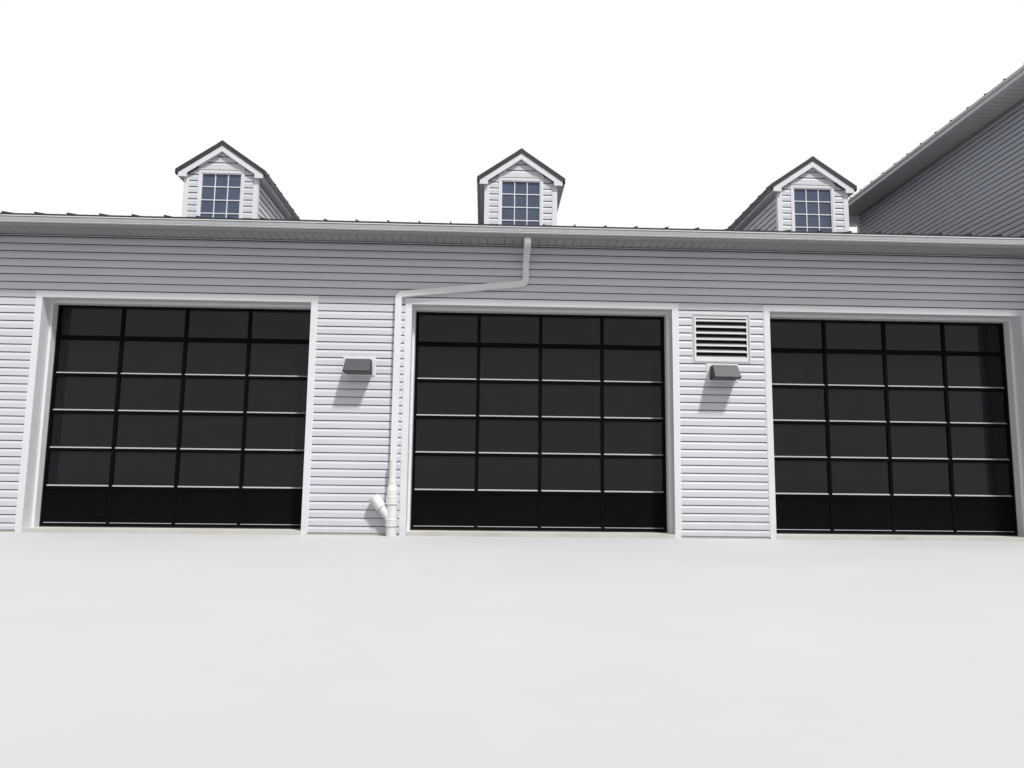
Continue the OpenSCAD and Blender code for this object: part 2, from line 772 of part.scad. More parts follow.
// rake boards with square returns, side eaves and corner posts
module dormer_trim() {
    half = dormer_w / 2;
    tip = dormer_half - dormer_drip;
    inner = tip - dormer_return_w;
    h = dormer_rake_h;
    face = dormer_y - dormer_oh + rake_in;
    wall = dormer_y - seat;
    soff = dormer_under(dormer_half) - dormer_return_drop;
    strip = board_t * 0.6;
    color(trim_white) placed() at_dormers() both_sides() {
        union() {
            along_y(face, face + board_t) polygon([
                [seat / 2, dormer_under(0) - seat], [tip, dormer_under(tip) - seat],
                [tip, soff], [inner, soff], [inner, dormer_under(inner) - h],
                [seat / 2, dormer_under(0) - h]]);
            along_y(face, wall) polygon([
                [seat / 2, dormer_under(0) - h], [seat / 2, dormer_under(0) - h + strip],
                [inner + 1, dormer_under(inner) - h + strip], [inner + 1, dormer_under(inner) - h]]);
            along_y(face, wall) polygon([[inner, soff], [tip, soff],
                [tip, dormer_under(tip) - seat], [inner, dormer_under(inner) - h]]);
        }
        difference() {
            along_y(dormer_y, dormer_end_y) polygon([
                [half + seat, soff], [half + seat, soff + strip], [tip - strip, soff + strip],
                [tip - strip, dormer_under(tip - strip) - seat],
                [tip, dormer_under(tip) - seat], [tip, soff]]);
            under_low_roof(seat);
        }
        difference() {
            union() {
                box(half - post_w, half + board_t, dormer_y - board_t, wall, 0, soff - seat);
                box(half + seat, half + board_t, dormer_y - board_t, dormer_y + post_w,
                    0, soff - seat);
            }
            under_low_roof(seat);
        }
    }
}

module dormer_sashes() {
    half = sash_w / 2;
    z0 = sash_top_z - sash_h;
    z1 = sash_top_z;
    front = dormer_y - board_t;
    head_z = z1 + sash_head_h;
    color(trim_white) placed() at_dormers() {
        along_y(front, dormer_y - seat) difference() {
            translate([-half - sash_trim_w, z0 - sash_trim_w])
                square([sash_w + 2 * sash_trim_w, head_z - z0 + sash_trim_w]);
            translate([-half + seat, z0 + seat]) square([sash_w - 2 * seat, sash_h - 2 * seat]);
        }
        along_y(front + board_t / 2, dormer_y + sash_d) difference() {
            translate([-half + seat, z0 + seat]) square([sash_w - 2 * seat, sash_h - 2 * seat]);
            translate([-half + seat + sash_rail, z0 + seat + sash_rail])
                square([sash_w - 2 * seat - 2 * sash_rail, sash_h - 2 * seat - 2 * sash_rail]);
        }
        box(-half - sash_trim_w - board_t / 2, half + sash_trim_w + board_t / 2,
            front - board_t / 2, dormer_y - seat, head_z - board_t, head_z);
    }
}

module dormer_glass() {
    in = sash_rail + 2 * seat;
    color([0.35, 0.45, 0.55, 0.6]) placed() at_dormers()
        box(-sash_w / 2 + in, sash_w / 2 - in, dormer_y + sash_set, dormer_y + sash_set + glass_t,
            sash_top_z - sash_h + in, sash_top_z - in);
}

module tall_gable_profile() {
    polygon([[tall_x0, base_h + seat], [tall_x1, base_h + seat],
        [tall_x1, tall_under(tall_x1) - seat], [tall_mid_x, tall_under(tall_mid_x) - seat],
        [tall_x0, tall_under(tall_x0) - seat]]);
}

module tall_front_wall() {
    color(wall_white) placed() along_y(tall_y0, tall_y0 + wall_t) tall_gable_profile();
}

module tall_back_wall() {
    color(wall_white) placed() along_y(tall_back - wall_t, tall_back) tall_gable_profile();
}

// drawn for the left wall, whose outer face is at tall_x0
module tall_side_wall() {
    along_y(tall_y0 + wall_t + seat, tall_back - wall_t - seat) polygon([
        [tall_x0, base_h + seat], [tall_x0 + wall_t, base_h + seat],
        [tall_x0 + wall_t, tall_under(tall_x0 + wall_t) - seat],
        [tall_x0, tall_under(tall_x0) - seat]]);
}

// turns a piece of the taller wing's left side into its twin on the right
module to_right() {
    translate([2 * tall_mid_x, 0, 0]) mirror([1, 0, 0]) children();
}

module tall_left_wall() {
    color(wall_white) placed() tall_side_wall();
}

module tall_right_wall() {
    color(wall_white) placed() to_right() tall_side_wall();
}

module tall_roof(gap) {
    edge = tall_x0 - tall_oh;
    along_y(tall_y0 - rake_oh, tall_back + rake_oh) polygon([
        [edge, tall_top(edge)], [tall_mid_x - gap, tall_top(tall_mid_x)],
        [tall_mid_x - gap, tall_under(tall_mid_x)], [edge, tall_under(edge)]]);
}

module tall_roof_left() {
    color(roof_dark) placed() tall_roof(seat);
}

module tall_roof_right() {
    color(roof_dark) placed() to_right() tall_roof(0);
}

module tall_eave() {
    in = rake_oh - rake_in - board_t - seat;
    along_y(tall_y0 - in, tall_back + in) translate([tall_x0, 0])
        eave_profile(tall_soffit_z, tall_oh, tall_under(tall_x0 - tall_oh + drip));
}

module tall_eave_left() {
    color(wall_white) placed() tall_eave();
}

module tall_eave_right() {
    color(wall_white) placed() to_right() tall_eave();
}

// One half of a gable's rake in (u, z), where u runs in from the wall's outer corner
// and base is the underside of the roof at u = 0: the board, the sloping soffit
// behind it and the square return below the eave.
module rake_board(base, u0, ret, mid, top) {
    polygon([[u0, top + seat], [u0, base + roof_rise * u0 - seat],
        [mid - seat, base + roof_rise * (mid - seat) - seat],
        [mid - seat, base + roof_rise * mid - rake_h],
        [ret, base + roof_rise * ret - rake_h], [ret, top + seat]]);
}

// the same board without a return, from a wall at u0
module rake_strip(base, u0, mid) {
    polygon([[u0, base + roof_rise * u0 - rake_h], [u0, base + roof_rise * u0 - seat],
        [mid - seat, base + roof_rise * (mid - seat) - seat],
        [mid - seat, base + roof_rise * mid - rake_h]]);
}

module rake_soffit(base, ret, mid) {
    polygon([[ret, base + roof_rise * ret - rake_h],
        [ret, base + roof_rise * ret - rake_h + board_t],
        [mid - seat, base + roof_rise * mid - rake_h + board_t],
        [mid - seat, base + roof_rise * mid - rake_h]]);
}

module rake_return(u0, ret, top, drop) {
    translate([u0, top + lap_down + seat - drop])
        square([ret - u0, drop - lap_down - seat]);
}

// the half rake over the left gable's front slope
module low_rake() {
    xo = low_x0 - rake_oh + rake_in;
    top = soffit_z - lap_down - seat;
    mid = low_mid_y;
    union() {
        along_x(xo, xo + board_t) rake_board(low_under(0), fascia_y, corner_w, mid, top);
        along_x(xo, low_x0 - seat) rake_soffit(low_under(0), corner_w, mid);
    }
    along_x(xo, low_x0 - seat) rake_return(fascia_y, corner_w, top, return_drop);
}

module mirror_back() {
    translate([0, low_depth, 0]) mirror([0, 1, 0]) children();
}

module low_to_right() {
    translate([low_x0 + low_x1, 0, 0]) mirror([1, 0, 0]) children();
}

// the half rake over the taller wing's front gable, left of its ridge
module tall_rake() {
    yo = tall_y0 - rake_oh + rake_in;
    top = tall_soffit_z - lap_down - seat;
    face = -tall_oh + drip;
    mid = tall_w / 2;
    base = tall_under(tall_x0);
    translate([tall_x0, 0, 0]) {
        union() {
            along_y(yo, yo + board_t) rake_board(base, face, corner_w, mid, top);
            along_y(yo, tall_y0 - seat) rake_soffit(base, corner_w, mid);
        }
        along_y(yo, tall_y0 - seat) rake_return(face, corner_w, top, tall_return_drop);
    }
}

module tall_mirror_back() {
    translate([0, tall_y0 + tall_back, 0]) mirror([0, 1, 0]) children();
}

module rake_trim() {
    xo = low_x1 + rake_oh - rake_in;
    base = low_under(0);
    color(trim_white) placed() {
        low_rake();
        mirror_back() low_rake();
        low_to_right() mirror_back() low_rake();
        union() {
            along_x(xo - board_t, xo) rake_strip(base, roof_step_y, low_mid_y);
            along_x(low_x1 + seat, xo) rake_soffit(base, roof_step_y, low_mid_y);
        }
        tall_rake();
        to_right() tall_rake();
        tall_mirror_back() tall_rake();
        tall_mirror_back() to_right() tall_rake();
    }
}

// An L of two boards on a wall corner at the origin, the wall lying in +x and +y.
// The board on the face y = 0 ends at za, the one on the face x = 0 at zb.
module corner_post(za, zb) {
    z0 = base_h + seat;
    low = min(za, zb);
    box(-casing_t, corner_w, -casing_t, -seat, z0, low);
    box(-casing_t, -seat, -casing_t, corner_w, z0, low);
    box(0, corner_w, -casing_t, -seat, z0, za);
    box(-casing_t, -seat, 0, corner_w, z0, zb);
}

module corner_posts() {
    eave = soffit_z - seat;
    gable = soffit_z - return_drop - seat;
    tall_eave = tall_soffit_z - seat;
    tall_gable = tall_soffit_z - tall_return_drop - seat;
    color(trim_white) placed() {
        translate([low_x0, 0, 0]) corner_post(eave, gable);
        mirror_back() translate([low_x0, 0, 0]) corner_post(eave, gable);
        mirror_back() low_to_right() translate([low_x0, 0, 0]) corner_post(eave, gable);
        translate([tall_x0, tall_y0, 0]) corner_post(tall_gable, tall_eave);
        to_right() translate([tall_x0, tall_y0, 0]) corner_post(tall_gable, tall_eave);
        to_right() tall_mirror_back() translate([tall_x0, tall_y0, 0])
            corner_post(tall_gable, tall_eave);
        difference() {
            tall_mirror_back() translate([tall_x0, tall_y0, 0])
                corner_post(tall_gable, tall_eave);
            under_low_roof(seat);
        }
    }
}

floor_slab();
front_pier_left();
front_pier_centre_left();
front_pier_centre_right();
front_pier_right();
front_header();
back_wall();
left_gable_wall();
right_gable_wall();
roof_front();
roof_back();
ridge_caps();
eave_front();
eave_back();
gutter_front();
gutter_back();
downspout();
standpipe();
door_casing(-1);  // door_casing_left
door_casing(0);  // door_casing_middle
door_casing(1);  // door_casing_right
overhead_door(-1);  // door_left
overhead_door(0);  // door_middle
overhead_door(1);  // door_right
door_glass(-1);  // door_glass_left
door_glass(0);  // door_glass_middle
door_glass(1);  // door_glass_right
louver();
light_blocks();
wall_lights();
dormer_walls();
dormer_roofs();
dormer_trim();
dormer_sashes();
dormer_glass();
tall_front_wall();
tall_back_wall();
tall_left_wall();
tall_right_wall();
tall_roof_left();
tall_roof_right();
tall_eave_left();
tall_eave_right();
rake_trim();
corner_posts();
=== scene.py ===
"""Looks for the apparatus building: lap siding, seamed roofs, soffits, glazing bars and
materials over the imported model. Plans are in metres with the origin at the foot of the
middle doorway; z is up, the front faces -y and every point is moved to the part's frame."""

import json
import math

import bmesh
import bpy
from mathutils import Matrix, Vector


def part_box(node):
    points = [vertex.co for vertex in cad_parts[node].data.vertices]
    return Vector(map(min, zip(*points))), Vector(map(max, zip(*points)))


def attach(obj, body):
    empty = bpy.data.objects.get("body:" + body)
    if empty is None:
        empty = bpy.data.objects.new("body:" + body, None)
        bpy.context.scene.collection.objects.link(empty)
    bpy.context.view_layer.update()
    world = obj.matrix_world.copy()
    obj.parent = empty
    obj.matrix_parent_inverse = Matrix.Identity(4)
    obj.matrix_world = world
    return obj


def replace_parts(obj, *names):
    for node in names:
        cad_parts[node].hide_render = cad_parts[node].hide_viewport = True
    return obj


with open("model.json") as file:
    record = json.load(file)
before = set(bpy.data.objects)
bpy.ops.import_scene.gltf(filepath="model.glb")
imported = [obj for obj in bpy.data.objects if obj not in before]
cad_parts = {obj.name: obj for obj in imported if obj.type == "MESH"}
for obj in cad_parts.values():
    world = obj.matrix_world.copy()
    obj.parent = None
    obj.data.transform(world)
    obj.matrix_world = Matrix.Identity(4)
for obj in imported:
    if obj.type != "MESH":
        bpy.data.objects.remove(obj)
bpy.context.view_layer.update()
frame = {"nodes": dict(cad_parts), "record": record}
nodes = frame["nodes"]


def centre(node, axis):
    lo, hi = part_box(node)
    return (lo[axis] + hi[axis]) / 2


ORIGIN = Vector((centre("door_casing_middle", 0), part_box("front_pier_left")[0][1], 0))


def ends(node, axis):
    """Where a CAD node starts and stops along x, y or z, in the plan's frame."""
    lo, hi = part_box(node)
    return lo[axis] - ORIGIN[axis], hi[axis] - ORIGIN[axis]


# the low wing
LOW_X0 = ends("front_pier_left", 0)[0]
LOW_X1 = ends("front_pier_right", 0)[1]
LOW_BACK = ends("back_wall", 1)[1]
LOW_MID = LOW_BACK / 2
LOW_ROOF_X0, LOW_ROOF_X1 = ends("roof_back", 0)
LOW_STOP = ends("gutter_front", 0)[1]
EAVE_OUT = 0.5
EDGE_Z = 4.915
RISE = 0.26
SLOPE = math.hypot(1, RISE)
ROOF_T = 0.06
SOFFIT_Z = 4.745
FASCIA_IN = 0.45
RAKE_H = 0.165
RAKE_OUT = 0.3
RAKE_FACE = 0.265
BASE_Z = ends("front_pier_left", 2)[0]
POST_W = 0.09
CAP_W = 0.18
# the taller wing
TALL_X0, TALL_X1 = ends("tall_front_wall", 0)
TALL_MID = (TALL_X0 + TALL_X1) / 2
TALL_Y0 = ends("tall_front_wall", 1)[0]
TALL_BACK = ends("tall_back_wall", 1)[1]
TALL_OUT = 0.59
TALL_EDGE_Z = 7.72
TALL_ROOF_T = 0.04
TALL_SOFFIT_Z = 7.6
TALL_FASCIA_IN = 0.54
# the dormers
DORMER_Y = ends("dormer_walls", 1)[0]
DORMER_FRONT, DORMER_END = ends("dormer_roofs", 1)
DORMER_PITCH = 5.99
DORMER_MID = centre("dormer_walls", 0) - ORIGIN[0]
DORMER_HALF = 0.716
DORMER_ROOF_HALF = 0.891
DORMER_RIDGE = 7.556
DORMER_RISE = 0.69
DORMER_ROOF_T = 0.095
DORMER_RAKE_H = 0.127
DORMER_POST = 0.08
DORMER_TIP = 0.837
DORMER_RETURN = 0.17
DORMER_RETURN_Z = 6.7942
SASH_HALF = 0.403
SASH_TOP = 6.907
SASH_H = 1.129
SASH_TRIM = 0.05
SASH_HEAD = 0.086
SASH_RAIL = 0.0223
MUNTIN_Z = (6.075, 6.35, 6.625)

# the doors and the lamps
DOORS = ("left", "middle", "right")
DOOR_W, DOOR_H = 4.3, 3.6576
DOOR_SECTIONS, DOOR_PANES = 6, 4
FLOOR_Z = 0.06
STILE = 0.102
MULLION = 0.054
RAIL = 0.036
FOOT_RAIL = 0.063
LEDGE = 0.022
GRID_T = 0.024
DOOR_Y = 0.3903
BLOCK_W = 0.5
LAMP_W, LAMP_TOP_W, LAMP_H, LAMP_D = 0.42, 0.394, 0.228, 0.3
LAMP_BACK = -0.0253
LAMP_FOOT = ends("wall_lights", 2)[0]

# lap siding: the exposed height of a board on each wing and the height of its first butt
LOW_LAP = (0.127, 0.145)
TALL_LAP = (0.1016, BASE_Z)
BOARD_OUT = 0.0135
BOARD_IN = 0.001
# share of the course from which a board lies in the gap under the next one, which gets painted shade
GAP_FROM = 0.9
# share of the course and share of the projection, from the butt up
BOARD = [(0.0, 1.0), (0.56, 0.97), (0.62, 0.9), (0.7, 0.58), (0.8, 0.3), (GAP_FROM, 0.15), (1.0, 0.0)]
CHANNEL_W = 0.011
CHANNEL_OUT = 0.0155
# room over the siding: under a level soffit and under a rake board
HEAD_GAP = 0.014
RAKE_GAP = 0.012

# roof seams and soffit grooves
SEAM_PITCH = 0.497
SEAM_START = 0.475
SEAM_H = 0.026
EDGE_SEAM = 0.012
GROOVE_PITCH = 0.14
SOFFIT_LAP = 0.016
# hairline that keeps an added sheet off the face behind it
LIFT = 0.0005


def low_top(y):
    return EDGE_Z + RISE * (EAVE_OUT + min(y, LOW_BACK - y))


def low_under(y):
    return low_top(y) - ROOF_T


def low_depth_at(z):
    """How far behind the front face the low roof's top reaches the height z."""
    return (z - EDGE_Z) / RISE - EAVE_OUT


def tall_top(x):
    return TALL_EDGE_Z + RISE * (TALL_OUT + min(x - TALL_X0, TALL_X1 - x))


def tall_under(x):
    return tall_top(x) - TALL_ROOF_T


def dormer_top(u):
    return DORMER_RIDGE - DORMER_RISE * abs(u)


def dormer_under(u):
    return dormer_top(u) - DORMER_ROOF_T


def dormer_centres():
    return [DORMER_MID + i * DORMER_PITCH for i in (-1, 0, 1)]


def dormer_sides():
    """Each dormer's middle with each of its sides, -1 on the left and 1 on the right."""
    return [(x, side) for x in dormer_centres() for side in (-1, 1)]


# meshes

def add_object(name, data):
    ob = bpy.data.objects.new(name, data)
    bpy.context.scene.collection.objects.link(ob)
    return ob


def piece(name, groups, solid=False):
    """One object from groups of (faces, finish); a face is a list of points."""
    index, polys, marks = {}, [], []
    for mark, (faces, _) in enumerate(groups):
        for face in faces:
            places = dict.fromkeys(tuple(round(c, 5) for c in p) for p in face)
            ids = [index.setdefault(place, len(index)) for place in places]
            if len(ids) > 2:
                polys.append(ids)
                marks.append(mark)
    mesh = bpy.data.meshes.new(name)
    mesh.from_pydata([Vector(place) + ORIGIN for place in index], [], polys)
    for _, finish in groups:
        mesh.materials.append(mats[finish])
    mesh.polygons.foreach_set("material_index", marks)
    if solid:
        work = bmesh.new()
        work.from_mesh(mesh)
        bmesh.ops.recalc_face_normals(work, faces=work.faces)
        work.to_mesh(mesh)
        work.free()
    mesh.update()
    ob = add_object(name, mesh)
    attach(ob, "root")
    return ob


def solid_piece(name, faces, finish):
    """One object of closed solids in one finish, in the slot of that name or another."""
    return piece(name, [(faces, finish)], solid=True)


def axes(origin, a, b, n):
    """A function from distances along three directions to a point."""
    o = Vector(origin)
    a, b, n = (Vector(direction).normalized() for direction in (a, b, n))
    return lambda i, j, k: tuple(o + a * i + b * j + n * k)


def level(x, y, z, side=1):
    """Level axes at a place: the first points to a side, the second back, the third up."""
    return axes((x, y, z), (side, 0, 0), (0, 1, 0), (0, 0, 1))


def extruded(at, section, b0, b1, closed=True):
    """A section of (a, n) points run along b, with end caps where it is closed."""
    faces = []
    for (a0, n0), (a1, n1) in zip(section, section[1:] + (section[:1] if closed else [])):
        faces.append([at(a0, b0, n0), at(a1, b0, n1), at(a1, b1, n1), at(a0, b1, n0)])
    if closed:
        faces.append([at(a, b0, n) for a, n in section])
        faces.append([at(a, b1, n) for a, n in reversed(section)])
    return faces


def joined(rings):
    """Faces between each ring of points and the next."""
    faces = []
    for low, high in zip(rings, rings[1:]):
        for corners in zip(low, low[1:] + low[:1], high[1:] + high[:1], high):
            faces.append(corners)
    return faces


def bar(x0, x1, y0, y1, z0, z1, chamfer):
    """A box whose edges along its longest side are chamfered."""
    size = (x1 - x0, y1 - y0, z1 - z0)
    run = size.index(max(size))
    a, b = (axis for axis in range(3) if axis != run)
    unit = Matrix.Identity(3)
    at = axes((x0, y0, z0), unit[a], unit[run], unit[b])
    w, h, c = size[a], size[b], chamfer
    section = [(c, 0), (w - c, 0), (w, c), (w, h - c), (w - c, h), (c, h), (0, h - c), (0, c)]
    return extruded(at, section, 0, size[run])


def clip(poly, axis, line, keep):
    """The part of a convex polygon on one side of a line across one axis."""
    out = []
    for i, p in enumerate(poly):
        q = poly[i - 1]
        p_in = (p[axis] - line) * keep >= 0
        q_in = (q[axis] - line) * keep >= 0
        if p_in != q_in:
            t = (line - q[axis]) / (p[axis] - q[axis])
            out.append((q[0] + t * (p[0] - q[0]), q[1] + t * (p[1] - q[1])))
        if p_in:
            out.append(p)
    return out if len(out) > 2 else []


def without(poly, hole):
    """A convex polygon less a rectangle, as convex polygons."""
    c0, c1, z0, z1 = hole
    left = clip(poly, 0, c0, -1)
    right = clip(poly, 0, c1, 1)
    middle = clip(clip(poly, 0, c0, 1), 0, c1, -1)
    return [p for p in (left, right, clip(middle, 1, z0, -1), clip(middle, 1, z1, 1)) if p]


def wall(axis, face, out):
    """The plane of a wall: c runs along x or y, z is up and d stands out from it."""
    def at(c, z, d):
        w = face + out * d
        return (c, w, z) if axis == "x" else (w, c, z)
    return at, (axis == "x") == (out > 0)


def siding(plane, outline, holes, lap, boards, gaps):
    """Adds the lap boards over a convex outline less its holes, and the gaps under them, which carry
    painted shade.
    """
    at, flip = plane
    course, first = lap
    turn = -1 if flip else 1
    tiny, near = 1e-6, 1e-4
    parts = [outline]
    for hole in holes:
        parts = [rest for part in parts for rest in without(part, hole)]
    for part in parts:
        z_low = min(z for _, z in part)
        z_high = max(z for _, z in part)
        k = math.floor((z_low - first) / course)
        while first + k * course < z_high:
            z0 = first + k * course
            for (sa, da), (sb, db) in zip(BOARD, BOARD[1:]):
                za, zb = z0 + sa * course, z0 + sb * course
                band = clip(clip(part, 1, za, 1), 1, zb, -1) if zb > z_low else []
                face = []
                for c, z in band:
                    share = da + (db - da) * (z - za) / (zb - za)
                    face.append(at(c, z, BOARD_IN + (BOARD_OUT - BOARD_IN) * share))
                if face:
                    (gaps if sa >= GAP_FROM else boards).append(face[::turn])
            z_butt = max(z0, z_low)
            row = [c for c, z in clip(part, 1, z_butt - tiny, 1) if abs(z - z_butt) < near]
            if len(row) > 1:
                c0, c1 = min(row), max(row)
                butt = [at(c0, z_butt, BOARD_IN), at(c1, z_butt, BOARD_IN),
                        at(c1, z_butt, BOARD_OUT), at(c0, z_butt, BOARD_OUT)]
                gaps.append(butt[::turn])
            k += 1


def ccw(outline):
    """The outline turned counter-clockwise, as siding expects."""
    area = sum(p[0] * q[1] - q[0] * p[1] for p, q in zip(outline, outline[1:] + outline[:1]))
    return outline if area > 0 else outline[::-1]


def clad(name, panels, lap=LOW_LAP, finish="siding"):
    """One object of siding from (plane, outline, holes) panels, with painted shade in the gaps under the
    boards.
    """
    boards, gaps = [], []
    for plane, outline, holes in panels:
        siding(plane, ccw(outline), holes, lap, boards, gaps)
    piece(name, [(boards, finish), (gaps, "gap")])


def channel(plane, c0, c1, z0, z1, sides="lrtb"):
    """The receiving channel round a hole in the siding: left, right, top, bottom strips."""
    at, _ = plane
    w = CHANNEL_W
    strips = {"l": (c0 - w, c0, z0, z1), "r": (c1, c1 + w, z0, z1),
              "t": (c0 - w, c1 + w, z1, z1 + w), "b": (c0 - w, c1 + w, z0 - w, z0)}
    faces = []
    for side in sides:
        a0, a1, b0, b1 = strips[side]
        corners = [(a0, b0), (a1, b0), (a1, b1), (a0, b1)]
        near, far = ([at(c, z, out) for c, z in corners] for out in (CHANNEL_OUT, LIFT))
        faces += [near] + joined([far, near])
    return faces


def grooved(at, length, width):
    """A soffit of narrow panels across it, and the sides of the grooves between them."""
    panels, grooves = [], []
    groove, thick = 0.004, 0.006
    a = 0.0
    while a < length:
        b = min(a + GROOVE_PITCH, length)
        if b - a > 3 * groove:
            panels += extruded(at, [(a + groove, thick), (b - groove, thick)], 0, width, closed=False)
            for low, high in ((a, a + groove), (b, b - groove)):
                grooves += extruded(at, [(low, LIFT), (high, thick)], 0, width, closed=False)
        a += GROOVE_PITCH
    return panels, grooves


def front_slope(x, y, across=(1, 0, 0)):
    """Axes on the low roof's front slope: across it, up it and out of it."""
    return axes((x, y, low_top(y)), across, (0, 1, RISE), (0, -RISE, 1))


def seam_section(width=0.009, height=SEAM_H):
    """A folded seam: a thin web with a wider bead on top."""
    web, bead, chamfer, sunk = width / 2, 0.0075, 0.002, 0.002
    neck = height * 0.7
    right = [(web, -sunk), (web, neck), (bead, neck + chamfer), (bead, height - chamfer),
             (bead - chamfer, height)]
    return [(-web, -sunk)] + right + [(-u, n) for u, n in reversed(right[1:])]


def seams(at, runs, section=seam_section()):
    """Roof seams at places a along the eave, from b0 to b1 up the slope."""
    shortest = 0.05
    faces = []
    for a, b0, b1 in runs:
        if b1 - b0 > shortest:
            faces += extruded(at, [(a + u, n) for u, n in section], b0, b1)
    return faces


# materials

def settle(node, values):
    """Puts constant numbers and colours on a node's own sockets."""
    for name, value in values.items():
        node.inputs[name].default_value = value
    return node


def is_source(value):
    """Whether a value is a (node, output) pair, as links start from."""
    return isinstance(value, tuple) and hasattr(value[0], "outputs")


def add_node(source, kind, values=()):
    """A new node in the source's tree, with constants on its sockets."""
    return settle(source[0].id_data.nodes.new("ShaderNode" + kind), dict(values))


def link(source, node, into):
    node.id_data.links.new(source[0].outputs[source[1]], node.inputs[into])


def new_material(name):
    material = bpy.data.materials.new(name)
    material.use_nodes = True
    nodes_of = material.node_tree.nodes
    place = (nodes_of.new("ShaderNodeTexCoord"), "Object")
    return material, nodes_of["Principled BSDF"], place


def noise(place, scale, detail, rough, stretch=(1, 1, 1)):
    """Noise over the part's metres, by its scale, detail, roughness and stretch."""
    mapping = add_node(place, "Mapping", {"Scale": stretch})
    tex = add_node(place, "TexNoise", {"Scale": scale, "Detail": detail, "Roughness": rough})
    link(place, mapping, "Vector")
    link((mapping, "Vector"), tex, "Vector")
    return tex, "Fac"


def along(place, axis):
    """The place along one axis."""
    parts = add_node(place, "SeparateXYZ")
    link(place, parts, "Vector")
    return parts, axis


def ramp(source, stops):
    """A colour for each value of the source, from (position, colour) stops."""
    node = add_node(source, "ValToRGB")
    elements = node.color_ramp.elements
    for element, (position, colour) in zip(elements, (stops[0], stops[-1])):
        element.position = position
        element.color = (*colour, 1)
    for position, colour in stops[1:-1]:
        elements.new(position).color = (*colour, 1)
    link(source, node, "Fac")
    return node, "Color"


def spread(source, low, high, lo=0.35, hi=0.65):
    """The source's range from lo to hi, spread from low to high."""
    node = add_node(source, "MapRange", {"From Min": lo, "From Max": hi, "To Min": low, "To Max": high})
    link(source, node, "Value")
    return node, "Result"


def combined(operation, first, second):
    """Two sources put together by a math node."""
    node = add_node(first, "Math")
    node.operation = operation
    link(first, node, 0)
    link(second, node, 1)
    return node, "Value"


def mix(fac, first, second, blend="MIX"):
    """A colour mix; each input is a source, a colour or a number, and one is a source."""
    factor, colour_a, colour_b, result = 0, 6, 7, 2
    node = add_node(next(filter(is_source, (first, second, fac))), "Mix")
    node.data_type = "RGBA"
    node.blend_type = blend
    for socket, value in ((factor, fac), (colour_a, first), (colour_b, second)):
        if is_source(value):
            link(value, node, socket)
        else:
            node.inputs[socket].default_value = (*value, 1) if isinstance(value, tuple) else value
    return node, result


def bump(shader, source, strength, distance, after=None):
    """Relief from the source on the shader, over an earlier bump."""
    node = add_node(source, "Bump", {"Strength": strength, "Distance": distance})
    link(source, node, "Height")
    if after:
        link(after, node, "Normal")
    link((node, "Normal"), shader, "Normal")
    return node, "Normal"


def shade(colour, factor):
    return tuple(c * factor for c in colour)


def soiled(place, value, strength):
    """The value with splash dirt that fades out above the ground."""
    height, soil = 0.7, (0.42, 0.39, 0.35)
    fade = spread(along(place, "Z"), strength, 0.0, 0.0, height)
    patches = spread(noise(place, 5.0, 6.0, 0.65, (1, 1, 2.5)), 0.0, 1.0, 0.35, 0.7)
    return mix(combined("MULTIPLY", fade, patches), value, soil)


def banded(place, value, bands):
    """The value darkened by bands along one axis, which paint light and shade: (axis, low, high,
    [(share, factor), ...]).
    """
    axis, low, high, stops = bands
    position = spread(along(place, axis), 0.0, 1.0, low, high)
    tint = ramp(position, [(share, (f, f, f)) for share, f in stops])
    return mix(1.0, value, tint, "MULTIPLY")


def painted(name, colour, rough, vary, grain, depth=0.0004, stretch=(1, 1, 1), soil=0.0,
            streaks=0.0, specular=0.5, bands=None):
    """Factory paint or vinyl: cloudy tone, fine surface grain, uneven gloss, optional dirt, and optional
    bands of painted light and shade.
    """
    material, shader, place = new_material(name)
    settle(shader, {"Specular IOR Level": specular})
    clouds = noise(place, 0.9, 5.0, 0.6)
    value = ramp(clouds, [(0.3, shade(colour, 1 - vary)), (0.7, colour)])
    if streaks:
        runs = noise(place, 3.0, 6.0, 0.7, (3.2, 3.2, 0.16))
        value = mix(spread(runs, 0.0, streaks, 0.52, 0.74), value, shade(colour, 0.6))
    if soil:
        value = soiled(place, value, soil)
    if bands:
        value = banded(place, value, bands)
    link(value, shader, "Base Color")
    fine = noise(place, grain, 6.0, 0.6, stretch)
    link(spread(fine, rough - 0.05, rough + 0.07), shader, "Roughness")
    waves = noise(place, 2.2, 2.0, 0.4)
    bump(shader, fine, 0.35, depth, bump(shader, waves, 0.25, 0.004))
    return material


def concrete(name, colour):
    """Trowelled concrete: cloudy tone, sand speckle, pores."""
    material, shader, place = new_material(name)
    clouds = noise(place, 1.4, 7.0, 0.65)
    base = ramp(clouds, [(0.28, shade(colour, 0.8)), (0.5, colour), (0.75, shade(colour, 1.08))])
    speck = noise(place, 160.0, 3.0, 0.7)
    value = mix(spread(speck, 0.0, 0.5, 0.56, 0.72), base, shade(colour, 0.6))
    link(value, shader, "Base Color")
    link(spread(speck, 0.75, 0.92), shader, "Roughness")
    bump(shader, noise(place, 60.0, 8.0, 0.7), 0.5, 0.0015)
    return material


def glass(name, colour, clear, rough=0.03, specular=0.5):
    """Dark glazing: reflects sharply, lets some light through, faint dust and roller waves."""
    material, shader, place = new_material(name)
    settle(shader, {"Transmission Weight": clear, "Specular IOR Level": specular, "IOR": 1.5})
    dust = noise(place, 2.5, 6.0, 0.65)
    link(ramp(dust, [(0.35, colour), (0.75, shade(colour, 1.35))]), shader, "Base Color")
    link(spread(dust, rough, rough + 0.06), shader, "Roughness")
    bump(shader, noise(place, 1.1, 1.0, 0.3), 0.2, 0.002)
    return material


